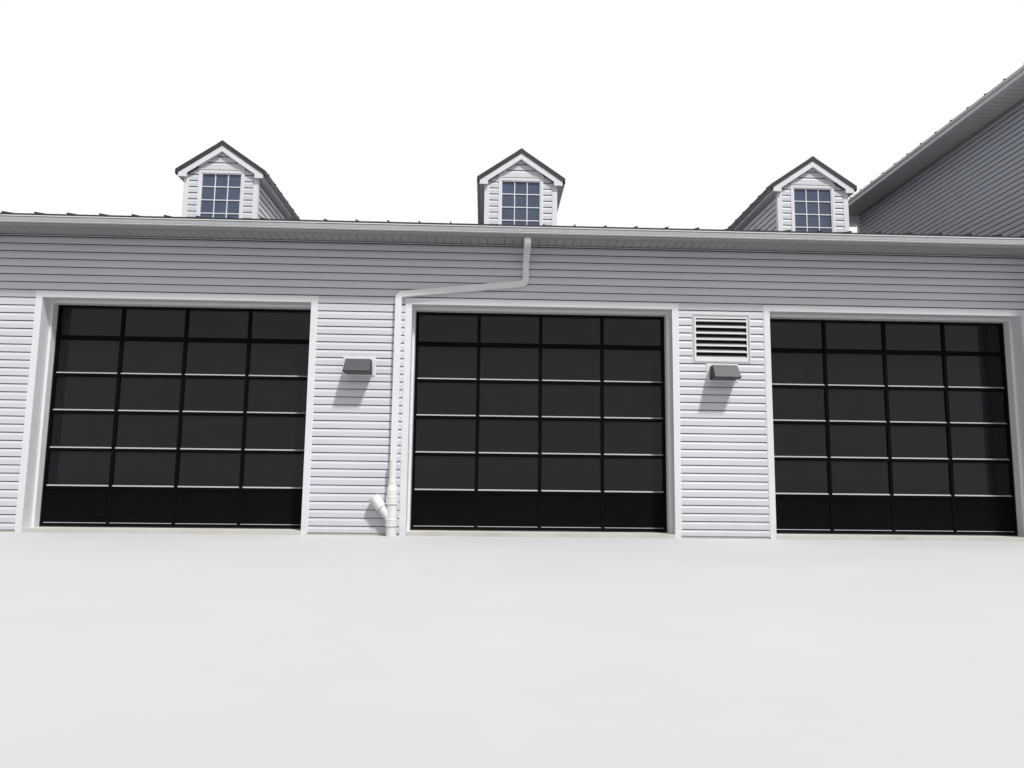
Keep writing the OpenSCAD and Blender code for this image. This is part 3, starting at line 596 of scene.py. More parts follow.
def roof_metal(name, colour):
    """Dark coated roof sheet: faint streaks down the slope, oil canning, satin sheen."""
    material, shader, place = new_material(name)
    settle(shader, {"Specular IOR Level": 0.25})
    clouds = noise(place, 0.7, 6.0, 0.6)
    base = ramp(clouds, [(0.3, shade(colour, 0.85)), (0.72, shade(colour, 1.15))])
    chalk = noise(place, 9.0, 7.0, 0.7, (1, 0.25, 0.25))
    value = mix(spread(chalk, 0.0, 0.22, 0.5, 0.75), base, shade(colour, 1.9))
    link(value, shader, "Base Color")
    link(spread(chalk, 0.5, 0.62), shader, "Roughness")
    buckle = noise(place, 1.6, 2.0, 0.4, (1, 0.5, 0.5))
    fine = noise(place, 220.0, 3.0, 0.6)
    bump(shader, fine, 0.2, 0.0003, bump(shader, buckle, 0.3, 0.003))
    return material


# colours
WHITE = (0.83, 0.84, 0.86)
VINYL = (0.69, 0.70, 0.74)
# the taller wing's siding: the same vinyl made darker and bluer as painted shade of sky-lit walls
SHADED_VINYL = (0.48, 0.495, 0.56)
GREY = (0.74, 0.75, 0.77)
BLACK = (0.0045, 0.0045, 0.005)
DARK = (0.045, 0.048, 0.054)

# painted light and shade on the gutter's folds from its foot to its lip, and the louver's own grey face
# with painted shade behind its lips
GUTTER_FOOT = ends("gutter_front", 2)[0]
GUTTER_H = 0.155
GUTTER_LIGHT_AND_SHADE = ("Z", GUTTER_FOOT, GUTTER_FOOT + GUTTER_H,
                [(0.0, 0.36), (0.3, 0.36), (0.32, 0.9), (0.42, 0.9), (0.43, 0.25), (0.49, 0.3),
                 (0.51, 0.5), (0.8, 0.52), (0.83, 0.25), (0.895, 0.25), (0.91, 1.0), (1.0, 1.0)])
LOUVER_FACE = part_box("louver")[0][1]
LOUVER_DEPTH = 0.02
# the louver frame's own grey face, its light lips, and painted shade on all behind the lips
LOUVER_TONE_AND_SHADE = ("Y", LOUVER_FACE, LOUVER_FACE + LOUVER_DEPTH,
                [(0.0, 0.6), (0.2, 0.6), (0.3, 1.0), (0.6, 1.0), (0.72, 0.06), (1.0, 0.035)])
# the grain of smooth paint, and of embossed boards along their length
SMOOTH = {"grain": 120.0, "depth": 0.0003}
BOARDS = {"grain": 40.0, "depth": 0.0006, "stretch": (0.5, 0.5, 9.0)}

mats = {
    "siding": painted("siding", VINYL, 0.5, 0.05, soil=0.3, **BOARDS),
    "shaded_siding": painted("siding_painted_shade", SHADED_VINYL, 0.5, 0.06, soil=0.3, **BOARDS),
    # painted shade: a dark finish for the gaps under the boards, the soffit grooves and the dark strips
    # under eaves and dormer rakes
    "gap": painted("gap_painted_shade", (0.08, 0.083, 0.1), 0.7, 0.2, 60.0, specular=0.1),
    "white_trim": painted("white_trim", WHITE, 0.4, 0.05, soil=0.22, streaks=0.05, **SMOOTH),
    "eave_trim": painted("eave_trim", GREY, 0.45, 0.07, **SMOOTH),
    # the gutter: real dirt streaks, with painted light and shade in bands along its folds
    "gutter_metal": painted("gutter_metal", (0.85, 0.86, 0.88), 0.36, 0.08, streaks=0.3,
                            bands=GUTTER_LIGHT_AND_SHADE, **SMOOTH),
    "spout_metal": painted("spout_metal", (0.86, 0.87, 0.885), 0.33, 0.05, streaks=0.1, **SMOOTH),
    # louver: painted shade behind its lips
    "louver": painted("louver_metal", (0.82, 0.825, 0.84), 0.4, 0.06, bands=LOUVER_TONE_AND_SHADE, **SMOOTH),
    # the frieze's dark brown-grey is painted shade under the taller wing's soffit
    "frieze": painted("frieze_painted_shade", (0.33, 0.325, 0.315), 0.55, 0.08, specular=0.3, **SMOOTH),
    "pipe_plastic": painted("pipe_plastic", (0.86, 0.87, 0.87), 0.3, 0.05, 180.0, 0.0003, soil=0.3),
    "door_metal": painted("door_metal", BLACK, 0.42, 0.3, 400.0, 0.0002, soil=0.01, specular=0.03),
    # painted highlight: the sun's glint on the black door sills, as a light grey
    "ledge": painted("door_ledge_painted_highlight", (0.44, 0.45, 0.47), 0.35, 0.15, 200.0, 0.0002),
    "lamp_metal": painted("lamp_metal", (0.075, 0.078, 0.085), 0.5, 0.15, 300.0, 0.0005),
    # painted shade: the lamps' ends and foot lip darker than their housing
    "lamp_end_painted_shade": painted("lamp_end_painted_shade", (0.02, 0.02, 0.022), 0.5, 0.15, 300.0, 0.0005, specular=0.2),
    "rubber": painted("rubber", (0.012, 0.012, 0.012), 0.7, 0.2, 150.0),
    "roof_metal": roof_metal("roof_metal", DARK),
    "concrete": concrete("concrete", (0.62, 0.60, 0.55)),
    "door_glass": glass("door_glass", (0.006, 0.0075, 0.01), 0.25, specular=0.17),
    # the dormer glass: its light blue-grey tone is a painted reflection of the sky
    "window_glass": glass("window_glass", (0.075, 0.095, 0.155), 0.1, specular=0.4),
    # the low soffits: the soffit colour darkened as painted shade under the low eaves
    "low_soffit_painted_shade": painted("low_soffit_painted_shade", (0.42, 0.42, 0.42), 0.55, 0.08, specular=0.3, **SMOOTH),
    "soffit": painted("soffit", (0.72, 0.71, 0.70), 0.55, 0.08, specular=0.3, **SMOOTH),
    "lens": glass("lamp_lens", (0.02, 0.022, 0.026), 0.2, 0.12),
}


def dress(node, finish):
    """Puts a finish in every material slot of a CAD node."""
    ob = nodes[node]
    if not len(ob.material_slots):
        ob.data.materials.append(None)
    for mesh_slot in ob.material_slots:
        mesh_slot.material = mats[finish]


def dress_nodes():
    for part in frame["record"]["subparts"]:
        dress(part["node"], part["material_slot"])
    dress("louver", "louver")


# siding

def casing_holes():
    """The door casings, from below the ground to their tops."""
    below = -1.0
    casings = ["door_casing_" + side for side in DOORS]
    return [(*ends(casing, 0), below, ends(casing, 2)[1]) for casing in casings]


def lamp_blocks():
    """The two lamp blocks, as rectangles on the front wall."""
    x0, x1 = ends("light_blocks", 0)
    height = ends("light_blocks", 2)
    return [(x0, x0 + BLOCK_W, *height), (x1 - BLOCK_W, x1, *height)]


def wall_holes():
    """The louver and the lamp blocks, as rectangles on the front wall."""
    return [(*ends("louver", 0), *ends("louver", 2))] + lamp_blocks()


def grown(hole):
    """A hole with room for its receiving channel."""
    c0, c1, z0, z1 = hole
    return (c0 - CHANNEL_W, c1 + CHANNEL_W, z0 - CHANNEL_W, z1 + CHANNEL_W)


def upright(c0, c1, top):
    """A rectangle of siding from the base up."""
    return [(c0, BASE_Z), (c1, BASE_Z), (c1, top), (c0, top)]


def gable_outline(c0, c1, middle, under):
    """The siding of a gable, up to just below its rake boards."""
    lid = RAKE_H + RAKE_GAP
    return [(c0, BASE_Z), (c1, BASE_Z), (c1, under(c1) - lid),
            (middle, under(middle) - lid), (c0, under(c0) - lid)]


def low_siding():
    front = wall("x", 0.0, -1)
    top = SOFFIT_Z - HEAD_GAP
    x0, x1 = LOW_X0 + POST_W, LOW_X1 - POST_W
    y0, y1 = POST_W, LOW_BACK - POST_W
    inner_corner = LOW_X1 - 0.013
    behind_tall = TALL_BACK + 0.035
    holes = [grown(h) for h in casing_holes() + wall_holes()]
    clad("siding_low_front", [(front, upright(x0, inner_corner, top), holes)])
    clad("siding_low_back", [(wall("x", LOW_BACK, 1), upright(x0, x1, top), [])])
    clad("siding_low_gables", [
        (wall("y", LOW_X0, -1), gable_outline(y0, y1, LOW_MID, low_under), []),
        (wall("y", LOW_X1, 1), gable_outline(behind_tall, y1, LOW_MID, low_under), [])])
    faces = []
    for hole in casing_holes():
        faces += channel(front, hole[0], hole[1], BASE_Z, hole[3], "lrt")
    for hole in wall_holes():
        faces += channel(front, *hole)
    solid_piece("siding_channels", faces, "white_trim")


def tall_siding():
    y0, y1 = TALL_Y0 + POST_W, TALL_BACK - POST_W
    top = TALL_SOFFIT_Z - HEAD_GAP
    gable = gable_outline(TALL_X0 + POST_W, TALL_X1 - POST_W, TALL_MID, tall_under)
    meet, flash = -0.026, 0.02
    above = [(meet, low_top(meet) + flash), (y1, low_top(y1) + flash), (y1, top), (meet, top)]
    left = wall("y", TALL_X0, -1)
    for side, panels in (("front", [(wall("x", TALL_Y0, -1), gable, [])]),
                         ("back", [(wall("x", TALL_BACK, 1), gable, [])]),
                         ("left", [(left, above, []), (left, upright(y0, meet, top), [])]),
                         ("right", [(wall("y", TALL_X1, 1), upright(y0, y1, top), [])])):
        # the taller wing's walls take the darker, bluer siding as painted shade
        clad("siding_tall_" + side, panels, TALL_LAP, "shaded_siding")


def dormer_siding():
    """The dormers' fronts round their windows and rake returns, and their sloping cheeks."""
    slit, lid, beyond = 0.004, DORMER_RAKE_H + 0.006, 1.0
    cap_out, cap_h, end_gap = 0.0105, 0.0205, 0.02
    inner = DORMER_HALF - DORMER_POST
    foot, shoulder = low_top(DORMER_Y) + slit, dormer_under(inner) - lid
    trim = SASH_HALF + SASH_TRIM
    cap = trim + cap_out
    trim_z0, trim_z1 = SASH_TOP - SASH_H - SASH_TRIM, SASH_TOP + SASH_HEAD
    step = DORMER_TIP - DORMER_RETURN
    side_y = DORMER_Y + DORMER_POST
    side_top = DORMER_RETURN_Z - slit
    side_end = low_depth_at(side_top) - end_gap
    cheek = [(side_y, low_top(side_y) + slit), (side_end, side_top), (side_y, side_top)]
    panels = []
    for x in dormer_centres():
        outline = [(x - inner, foot), (x + inner, foot), (x + inner, shoulder),
                   (x, dormer_under(0) - lid), (x - inner, shoulder)]
        holes = [(x - trim, x + trim, trim_z0, trim_z1), (x - cap, x + cap, trim_z1 - cap_h, trim_z1),
                 (x - beyond, x - step, DORMER_RETURN_Z, DORMER_RIDGE),
                 (x + step, x + beyond, DORMER_RETURN_Z, DORMER_RIDGE)]
        panels.append((wall("x", DORMER_Y, -1), outline, holes))
        panels += [(wall("y", x + out * DORMER_HALF, out), cheek, []) for out in (-1, 1)]
    clad("siding_dormers", panels)


# eaves

def down(x0, y0, z, run, across):
    """Axes of a level soffit seen from below."""
    return axes((x0, y0, z), run, across, (0, 0, -1))


def soffits():
    """The grooved soffits: the low ones, darkened as painted shade, and the rakes' and the taller
    wing's; the sides of all grooves carry painted shade.
    """
    start, width = LOW_X0 - RAKE_FACE, FASCIA_IN - SOFFIT_LAP
    front_gap, back_gap = 0.02, 0.035
    low = [grooved(down(start, y, SOFFIT_Z, (1, 0, 0), (0, into, 0)), stop - start, width)
           for y, into, stop in ((-FASCIA_IN, 1, LOW_STOP - front_gap),
                                 (LOW_BACK + FASCIA_IN, -1, LOW_ROOF_X1 - back_gap))]
    high = rake_soffits()
    for x, into in ((TALL_X0 - TALL_FASCIA_IN, 1), (TALL_X1 + TALL_FASCIA_IN, -1)):
        high.append(grooved(down(x, TALL_Y0 - RAKE_FACE, TALL_SOFFIT_Z, (0, 1, 0), (into, 0, 0)),
                            TALL_BACK - TALL_Y0 + 2 * RAKE_FACE, TALL_FASCIA_IN - SOFFIT_LAP))
    groups = [([face for panels, _ in parts for face in panels], finish)
              for parts, finish in ((low, "low_soffit_painted_shade"), (high, "soffit"))]
    # painted shade in the sides of the grooves
    grooves = [face for _, faces in low + high for face in faces]
    piece("soffit_panels", groups + [(grooves, "gap")])


def rake_soffit(gable, start, into, turned):
    """Grooved panels up one half of a gable's overhang; turned, x and y change places."""
    face, out, middle, under = gable
    end_gap = 0.01
    basis = [(face + out * RAKE_FACE, start, under(start) - RAKE_H),
             (0, into, RISE), (-out, 0, 0), (0, into * RISE, -1)]
    if turned:
        basis = [(b, a, c) for a, b, c in basis]
    return grooved(axes(*basis), abs(middle - start) * SLOPE - end_gap, RAKE_FACE - SOFFIT_LAP)


def rake_soffits():
    """Grooved panels under the sloping gable overhangs, up from both ends of each gable."""
    behind_tall = TALL_BACK + 0.04
    low_back = LOW_BACK - POST_W
    tall_ends = (TALL_X0 + POST_W, TALL_X1 - POST_W)
    parts = []
    for gable, starts, turned in (((LOW_X0, -1, LOW_MID, low_under), (POST_W, low_back), False),
                                  ((LOW_X1, 1, LOW_MID, low_under), (behind_tall, low_back), False),
                                  ((TALL_Y0, -1, TALL_MID, tall_under), tall_ends, True),
                                  ((TALL_BACK, 1, TALL_MID, tall_under), tall_ends, True)):
        parts += [rake_soffit(gable, start, into, turned) for start, into in zip(starts, (1, -1))]
    return parts


def eave_channels():
    """The light receiving strip at the head of the siding between two dark strips of painted shade, and
    the frieze under the taller wing's soffit, dark as painted shade."""
    light, dark, frieze = [], [], []
    gap_out, chamfer, stop_gap = 0.0145, 0.002, 0.025
    # each strip: its lower and upper edge below the soffit, and how far it stands out
    low_strips = ((light, 0.03, 0.0165, 0.017), (dark, 0.016, 0.0005, gap_out),
                  (dark, 0.048, 0.0305, gap_out))
    tall_strips = ((frieze, 0.086, 0.042, 0.018), (dark, 0.0415, 0.034, gap_out),
                   (frieze, 0.0335, 0.0005, 0.022))
    for y, side in ((0.0, -1), (LOW_BACK, 1)):
        for faces, low, high, out in low_strips:
            y0, y1 = sorted((y + side * LIFT, y + side * out))
            faces += bar(LOW_X0 + POST_W, LOW_STOP - stop_gap, y0, y1, SOFFIT_Z - low, SOFFIT_Z - high,
                         chamfer)
    for x, side in ((TALL_X0, -1), (TALL_X1, 1)):
        for faces, low, high, out in tall_strips:
            x0, x1 = sorted((x + side * LIFT, x + side * out))
            faces += bar(x0, x1, TALL_Y0 + POST_W, TALL_BACK - POST_W,
                         TALL_SOFFIT_Z - low, TALL_SOFFIT_Z - high, chamfer)
    solid_piece("eave_channels", light, "eave_trim")
    solid_piece("eave_painted_shade_strips", dark, "gap")
    solid_piece("tall_friezes", frieze, "frieze")


def dormer_rake_soffits():
    """The boards that close the dormers' gable overhangs behind the rake boards, in the dark finish as
    painted shadow under the rakes.
    """
    faces = []
    thick, front, back = 0.01, -0.0635, -0.0005
    reach = DORMER_TIP - DORMER_RETURN - 0.002
    z0, z1 = (dormer_under(u) - DORMER_RAKE_H + LIFT for u in (0, reach))
    section = [(0, z0), (reach, z1), (reach, z1 + thick), (0, z0 + thick)]
    for x, side in dormer_sides():
        faces += extruded(level(x, DORMER_Y, 0, side), section, front, back)
    # painted shadow under the dormers' rake boards
    solid_piece("dormer_rake_soffits", faces, "gap")


def tall_edges():
    """Light drip edge over the taller wing's fascia and the closed strip of its soffit."""
    edge, strip = [], []
    roof_y0, roof_y1 = TALL_Y0 - RAKE_OUT, TALL_BACK + RAKE_OUT
    y0, y1 = TALL_Y0 - RAKE_FACE, TALL_BACK + RAKE_FACE
    drop, fascia_in, lip_drop = 0.012, 0.03, 0.0148
    fold = [(0.0, 0.0), (0.003, 0.0), (0.006, -0.034), (-0.026, -0.052), (-0.0265, -0.05), (0.0, -0.032)]
    lip = [(LIFT, 0.0), (0.0065, 0.001), (0.0065, 0.012), (LIFT, 0.016)]
    strip_near, strip_far, strip_t, strip_gap, chamfer = 0.0205, 0.105, 0.009, 0.0003, 0.002
    for eave_x, out in ((TALL_X0 - TALL_OUT, -1), (TALL_X1 + TALL_OUT, 1)):
        fascia = eave_x - out * fascia_in
        edge += extruded(level(eave_x, 0, TALL_EDGE_Z - drop, out), fold, roof_y0, roof_y1)
        edge += extruded(level(fascia, 0, TALL_SOFFIT_Z - lip_drop, out), lip, y0, y1)
        x0, x1 = sorted((fascia - out * strip_near, fascia - out * strip_far))
        strip += bar(x0, x1, y0, y1, TALL_SOFFIT_Z - strip_t, TALL_SOFFIT_Z - strip_gap, chamfer)
    solid_piece("tall_drip_edges", edge, "eave_trim")
    solid_piece("tall_soffit_strips", strip, "eave_trim")


def dormer_eave_soffits():
    """Light boards under the dormers' side overhangs, down to the low roof."""
    faces = []
    u0, u1 = DORMER_HALF + 0.0145, DORMER_ROOF_HALF - 0.004
    gap, thick, front_gap, foot_gap = 0.0006, 0.008, 0.002, 0.02
    stop = low_depth_at(dormer_under(u1) - thick) - foot_gap
    section = [(u, dormer_under(u) - drop)
               for u, drop in ((u0, gap), (u1, gap), (u1, thick), (u0, thick))]
    for x, side in dormer_sides():
        faces += extruded(level(x, 0, 0, side), section, DORMER_Y + front_gap, stop)
    solid_piece("dormer_eave_soffits", faces, "white_trim")


def gutter_crests():
    """The sharp crest under the gutters' upper face, which catches the light."""
    faces = []
    inset, end_gap = 0.0068, 0.001
    section = [(0.0, 0.0665), (0.0066, 0.06), (-0.008, 0.0555), (-0.003, 0.06)]
    x0 = ends("gutter_front", 0)[0] + end_gap
    for node, side, out in (("gutter_front", 0, -1), ("gutter_back", 1, 1)):
        face = ends(node, 1)[side] - out * inset
        at = axes((0, face, GUTTER_FOOT), (0, out, 0), (1, 0, 0), (0, 0, 1))
        faces += extruded(at, section, x0, ends(node, 0)[1] - end_gap)
    solid_piece("gutter_crests", faces, "spout_metal")


# roofs

def low_seam_places():
    """The seams of the low roof, from its left edge to its right one."""
    clear = 0.02
    first, last = (math.ceil((x - SEAM_START) / SEAM_PITCH)
                   for x in (LOW_ROOF_X0 + clear, LOW_ROOF_X1 - clear))
    places = [SEAM_START + k * SEAM_PITCH for k in range(first, last)]
    return [LOW_ROOF_X0 + EDGE_SEAM] + places + [LOW_ROOF_X1 - EDGE_SEAM]


def front_runs(x):
    """Where a seam at x shows on the front slope, as (y0, y1) pairs."""
    ridge = LOW_MID - CAP_W
    beside_tall, behind_tall = LOW_STOP - 0.01, TALL_BACK + 0.03
    wall_half, roof_half = DORMER_HALF + 0.03, DORMER_ROOF_HALF + 0.02
    before_wall = DORMER_Y - 0.06
    under_eave = low_depth_at(DORMER_RETURN_Z - SEAM_H) - 0.03
    behind_roof = 0.08
    if x > beside_tall:
        return [(behind_tall, ridge)] if x > LOW_X1 else []
    for centre_x in dormer_centres():
        u = abs(x - centre_x)
        if u < roof_half:
            stop = before_wall if u < wall_half else under_eave
            return [(-EAVE_OUT, stop), (low_depth_at(dormer_top(u)) + behind_roof, ridge)]
    return [(-EAVE_OUT, ridge)]


def low_seams():
    places = low_seam_places()
    faces = seams(front_slope(0, -EAVE_OUT), [(x, (y0 + EAVE_OUT) * SLOPE, (y1 + EAVE_OUT) * SLOPE)
                                              for x in places for y0, y1 in front_runs(x)])
    back = axes((0, LOW_BACK + EAVE_OUT, EDGE_Z), (1, 0, 0), (0, -1, RISE), (0, RISE, 1))
    length = (LOW_MID + EAVE_OUT - CAP_W) * SLOPE
    faces += seams(back, [(x, 0, length) for x in places])
    solid_piece("seams_low_roof", faces, "roof_metal")


def tall_seams():
    length = (TALL_MID - TALL_X0 + TALL_OUT - CAP_W) * SLOPE
    y0, y1 = ends("tall_roof_left", 1)
    first = y0 + 0.3
    places = [first + k * SEAM_PITCH for k in range(int((y1 - y0) / SEAM_PITCH))]
    runs = [(y, 0, length) for y in [y0 + EDGE_SEAM] + places + [y1 - EDGE_SEAM]]
    faces = []
    for x, into in ((TALL_X0 - TALL_OUT, 1), (TALL_X1 + TALL_OUT, -1)):
        at = axes((x, 0, TALL_EDGE_Z), (0, 1, 0), (into, 0, RISE), (-into * RISE, 0, 1))
        faces += seams(at, runs)
    solid_piece("seams_tall_roof", faces, "roof_metal")


def dormer_seams():
    """Lower seams down the dormers' slopes, from the ridge cap to the low roof."""
    slope = math.hypot(1, DORMER_RISE)
    cap, back_gap, above_low = 0.07, 0.5, 0.02
    section = seam_section(0.008, 0.018)
    edge_z = dormer_top(DORMER_ROOF_HALF)
    runs = []
    for k in range(int((DORMER_END - back_gap - DORMER_FRONT) / SEAM_PITCH)):
        y = DORMER_FRONT + (k + 0.5) * SEAM_PITCH
        hidden = max(0.0, (low_top(y) + above_low - edge_z) / DORMER_RISE)
        runs.append((y, hidden * slope, (DORMER_ROOF_HALF - cap) * slope))
    faces = []
    for x, side in dormer_sides():
        edge = (x + side * DORMER_ROOF_HALF, 0, edge_z)
        at = axes(edge, (0, 1, 0), (-side, 0, DORMER_RISE), (side * DORMER_RISE, 0, 1))
        faces += seams(at, runs, section)
    solid_piece("seams_dormer_roofs", faces, "roof_metal")


def flashings():
    """Dark folded strips where the dormers and the taller wing meet the low roof."""
    faces = []
    up, outward, narrow, thick = 0.07, 0.09, 0.05, 0.0015
    fold = [(0, LIFT), (outward, LIFT), (outward, LIFT + thick), (thick, LIFT + thick),
            (thick, up), (0, up)]
    front_y, front_half = DORMER_Y - 0.021, DORMER_HALF + 0.03
    side_start, side_end = 0.085, low_depth_at(DORMER_RETURN_Z - 0.01)
    tall_y, tall_start, tall_end = -0.4, 0.2, TALL_BACK + 0.38
    for x in dormer_centres():
        front = axes((x, front_y, low_top(front_y)), (0, -1, -RISE), (1, 0, 0), (0, -RISE, 1))
        faces += extruded(front, fold, -front_half, front_half)
        for side in (-1, 1):
            at = front_slope(x + side * (DORMER_HALF + BOARD_OUT), DORMER_Y, (side, 0, 0))
            faces += extruded(at, fold, side_start, (side_end - DORMER_Y) * SLOPE)
    at = front_slope(TALL_X0 - BOARD_OUT, tall_y, (-1, 0, 0))
    faces += extruded(at, [(min(a, narrow), n) for a, n in fold], tall_start, tall_end * SLOPE)
    solid_piece("roof_flashings", faces, "roof_metal")


# downspout and standpipe

SPOUT_W = 0.104
SPOUT_D = 0.076
SPOUT_Y = -0.052
OUTLET = (-0.285, -0.522, 4.6897)
NECK_Z = (4.61, 4.42)
RUN_Z = (4.075, 3.85)
DROP_X = -2.345
SPOUT_END = 1.17
BEND_R = 0.085
PIPE_Y = -0.1153
# the standpipe's beads, and its slanting branch from the axis up
RING_R = 0.095
RING_Z = (0.153, 0.245, 0.488, 0.596)
BRANCH_R = 0.087
BRANCH_Z = 0.225
BRANCH_ANGLE = math.radians(38)
BRANCH_RINGS = (0.272, 0.46)


def rounded(path, radius, steps=8):
    """The path with each corner turned into an arc of the given radius."""
    out = [Vector(path[0])]
    for a, b, c in zip(path, path[1:], path[2:]):
        a, b, c = Vector(a), Vector(b), Vector(c)
        u, v = (a - b).normalized(), (c - b).normalized()
        half = u.angle(v) / 2
        reach = radius / math.tan(half)
        middle = b + (u + v).normalized() * (radius / math.sin(half))
        start, stop = b + u * reach - middle, b + v * reach - middle
        for i in range(steps + 1):
            out.append(middle + start.normalized().slerp(stop.normalized(), i / steps) * radius)
    out.append(Vector(path[-1]))
    return out


def swept(path, section):
    """A closed section of (a, b) points carried along a path, closed at both ends."""
    tangents = [(q - p).normalized() for p, q in zip(path[:1] + path, path[1:] + path[-1:])]
    across = Vector((1, 0, 0))
    rings = []
    for i, (p, t) in enumerate(zip(path, tangents)):
        if i:
            across = tangents[i - 1].rotation_difference(t) @ across
        across = (across - t * across.dot(t)).normalized()
        deep = t.cross(across)
        rings.append([tuple(p + across * a + deep * b) for a, b in section])
    return [rings[0], rings[-1][::-1]] + joined(rings)


def fluted_section(width, depth):
    """A rounded rectangle with shallow flutes pressed into its sides."""
    flutes, pressed, corner = 3, 0.003, 0.009
    out = []
    for length, other, c, s in ((width, depth, 1, 0), (depth, width, 0, 1),
                                (width, depth, -1, 0), (depth, width, 0, -1)):
        clear = length - 2 * corner
        half = clear / flutes * 0.3
        side = [(-clear / 2, -other / 2)]
        for k in range(flutes):
            a = -clear / 2 + (k + 0.5) * clear / flutes
            side += [(a - half, -other / 2), (a - half / 2, -other / 2 + pressed),
                     (a + half / 2, -other / 2 + pressed), (a + half, -other / 2)]
        for t in (0, math.pi / 6, math.pi / 3):
            side.append((clear / 2 + corner * math.sin(t), -other / 2 + corner * (1 - math.cos(t))))
        out += [(a * c - b * s, a * s + b * c) for a, b in side]
    return out


def spout():
    """The downspout as bent, fluted sheet in place of its mitred outline."""
    x, y, z = OUTLET
    path = [(x, y, z), (x, y, NECK_Z[0]), (x, SPOUT_Y, NECK_Z[1]), (x, SPOUT_Y, RUN_Z[0]),
            (DROP_X, SPOUT_Y, RUN_Z[1]), (DROP_X, SPOUT_Y, SPOUT_END)]
    faces = swept(rounded(path, BEND_R), fluted_section(SPOUT_W, SPOUT_D))
    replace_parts(solid_piece("fluted_spout", faces, "spout_metal"), "downspout")


def circle(at, radius, height, sides):
    """Points round an axis, at a height along it."""
    turns = [2 * math.pi * i / sides for i in range(sides)]
    return [at(radius * math.cos(t), radius * math.sin(t), height) for t in turns]


def ring(at, radius, width, sides=64):
    """A rounded bead round an axis, its section a half hexagon."""
    proud, sunk = 0.003, -0.001
    section = ((0.0, sunk), (width * 0.25, proud), (width * 0.75, proud), (width, sunk))
    rings = [circle(at, radius + r, h, sides) for h, r in section]
    return joined(rings + rings[:1])


def pipe_rings():
    """Raised beads at the ends of the couplings, the bell and the collar."""
    faces = []
    ring_w, branch_ring_w = 0.008, 0.009
    for z in RING_Z:
        faces += ring(level(DROP_X, PIPE_Y, z), RING_R, ring_w)
    lean, rise = math.sin(BRANCH_ANGLE), math.cos(BRANCH_ANGLE)
    for far in BRANCH_RINGS:
        start = (DROP_X - lean * far, PIPE_Y, BRANCH_Z + rise * far)
        faces += ring(axes(start, (rise, 0, lean), (0, 1, 0), (-lean, 0, rise)), BRANCH_R, branch_ring_w)
    solid_piece("pipe_rings", faces, "pipe_plastic")


# windows, doors and lamps

def dormer_muntins():
    """Glazing bars of the dormer windows: two upright, three level."""
    half_bar, chamfer, behind = 0.011, 0.004, 0.0005
    y0, y1 = DORMER_Y + 0.004, DORMER_Y + 0.0198
    half = SASH_HALF - SASH_RAIL
    z0, z1 = SASH_TOP - SASH_H + SASH_RAIL, SASH_TOP - SASH_RAIL
    faces = []
    for x in dormer_centres():
        for c in (x - half / 3, x + half / 3):
            faces += bar(c - half_bar, c + half_bar, y0, y1, z0, z1, chamfer)
        for z in MUNTIN_Z:
            faces += bar(x - half, x + half, y0 + behind, y1, z - half_bar, z + half_bar, chamfer)
    solid_piece("dormer_muntins", faces, "white_trim")


def door_ledges():
    """Sloping sills of every section of a door but the top one, in a light grey that is a painted
    highlight on the black sills; the top one is left out as it lies in shade.
    """
    pane = (DOOR_W - 2 * STILE - (DOOR_PANES - 1) * MULLION) / DOOR_PANES
    section = DOOR_H / DOOR_SECTIONS
    edge, skin, thick, short = 0.001, 0.0001, 0.0009, 0.0005
    foot_reach = 0.01
    faces = []
    for side in DOORS:
        x = centre("door_" + side, 0) - ORIGIN[0]
        for k in range(DOOR_SECTIONS - 1):
            z = FLOOR_Z + k * section + (RAIL if k else FOOT_RAIL)
            reach = (GRID_T if k else foot_reach) - short
            wide = reach * math.hypot(GRID_T, LEDGE) / GRID_T
            strip = [(edge, skin), (wide, skin), (wide, thick), (edge, thick)]
            for c in range(DOOR_PANES):
                x0 = x - DOOR_W / 2 + STILE + c * (pane + MULLION) + edge
                at = axes((x0, DOOR_Y, z), (0, GRID_T, LEDGE), (1, 0, 0), (0, -LEDGE, GRID_T))
                faces += extruded(at, strip, 0, pane - 2 * edge)
    solid_piece("door_ledges", faces, "ledge")


def door_seals():
    """Dark bulb seals against the stops and under the lowest section."""
    faces = []
    lap, bulb, between = 0.055, 0.011, 0.012
    side_chamfer, foot_chamfer = 0.003, 0.004
    side_y, foot_y, back_y = DOOR_Y - 0.013, DOOR_Y - 0.012, DOOR_Y - 0.0003
    side_z0, side_z1 = FLOOR_Z + 0.001, FLOOR_Z + DOOR_H - 0.03
    foot_z0, foot_z1 = FLOOR_Z + 0.0006, FLOOR_Z + 0.016
    for side in DOORS:
        x0, x1 = ends("door_" + side, 0)
        a, b = x0 + lap, x1 - lap
        for left, right in ((a, a + bulb), (b - bulb, b)):
            faces += bar(left, right, side_y, back_y, side_z0, side_z1, side_chamfer)
        faces += bar(a + between, b - between, foot_y, back_y, foot_z0, foot_z1, foot_chamfer)
    solid_piece("door_seals", faces, "rubber")


def lamp_centres():
    return [(x0 + x1) / 2 for x0, x1, _, _ in lamp_blocks()]


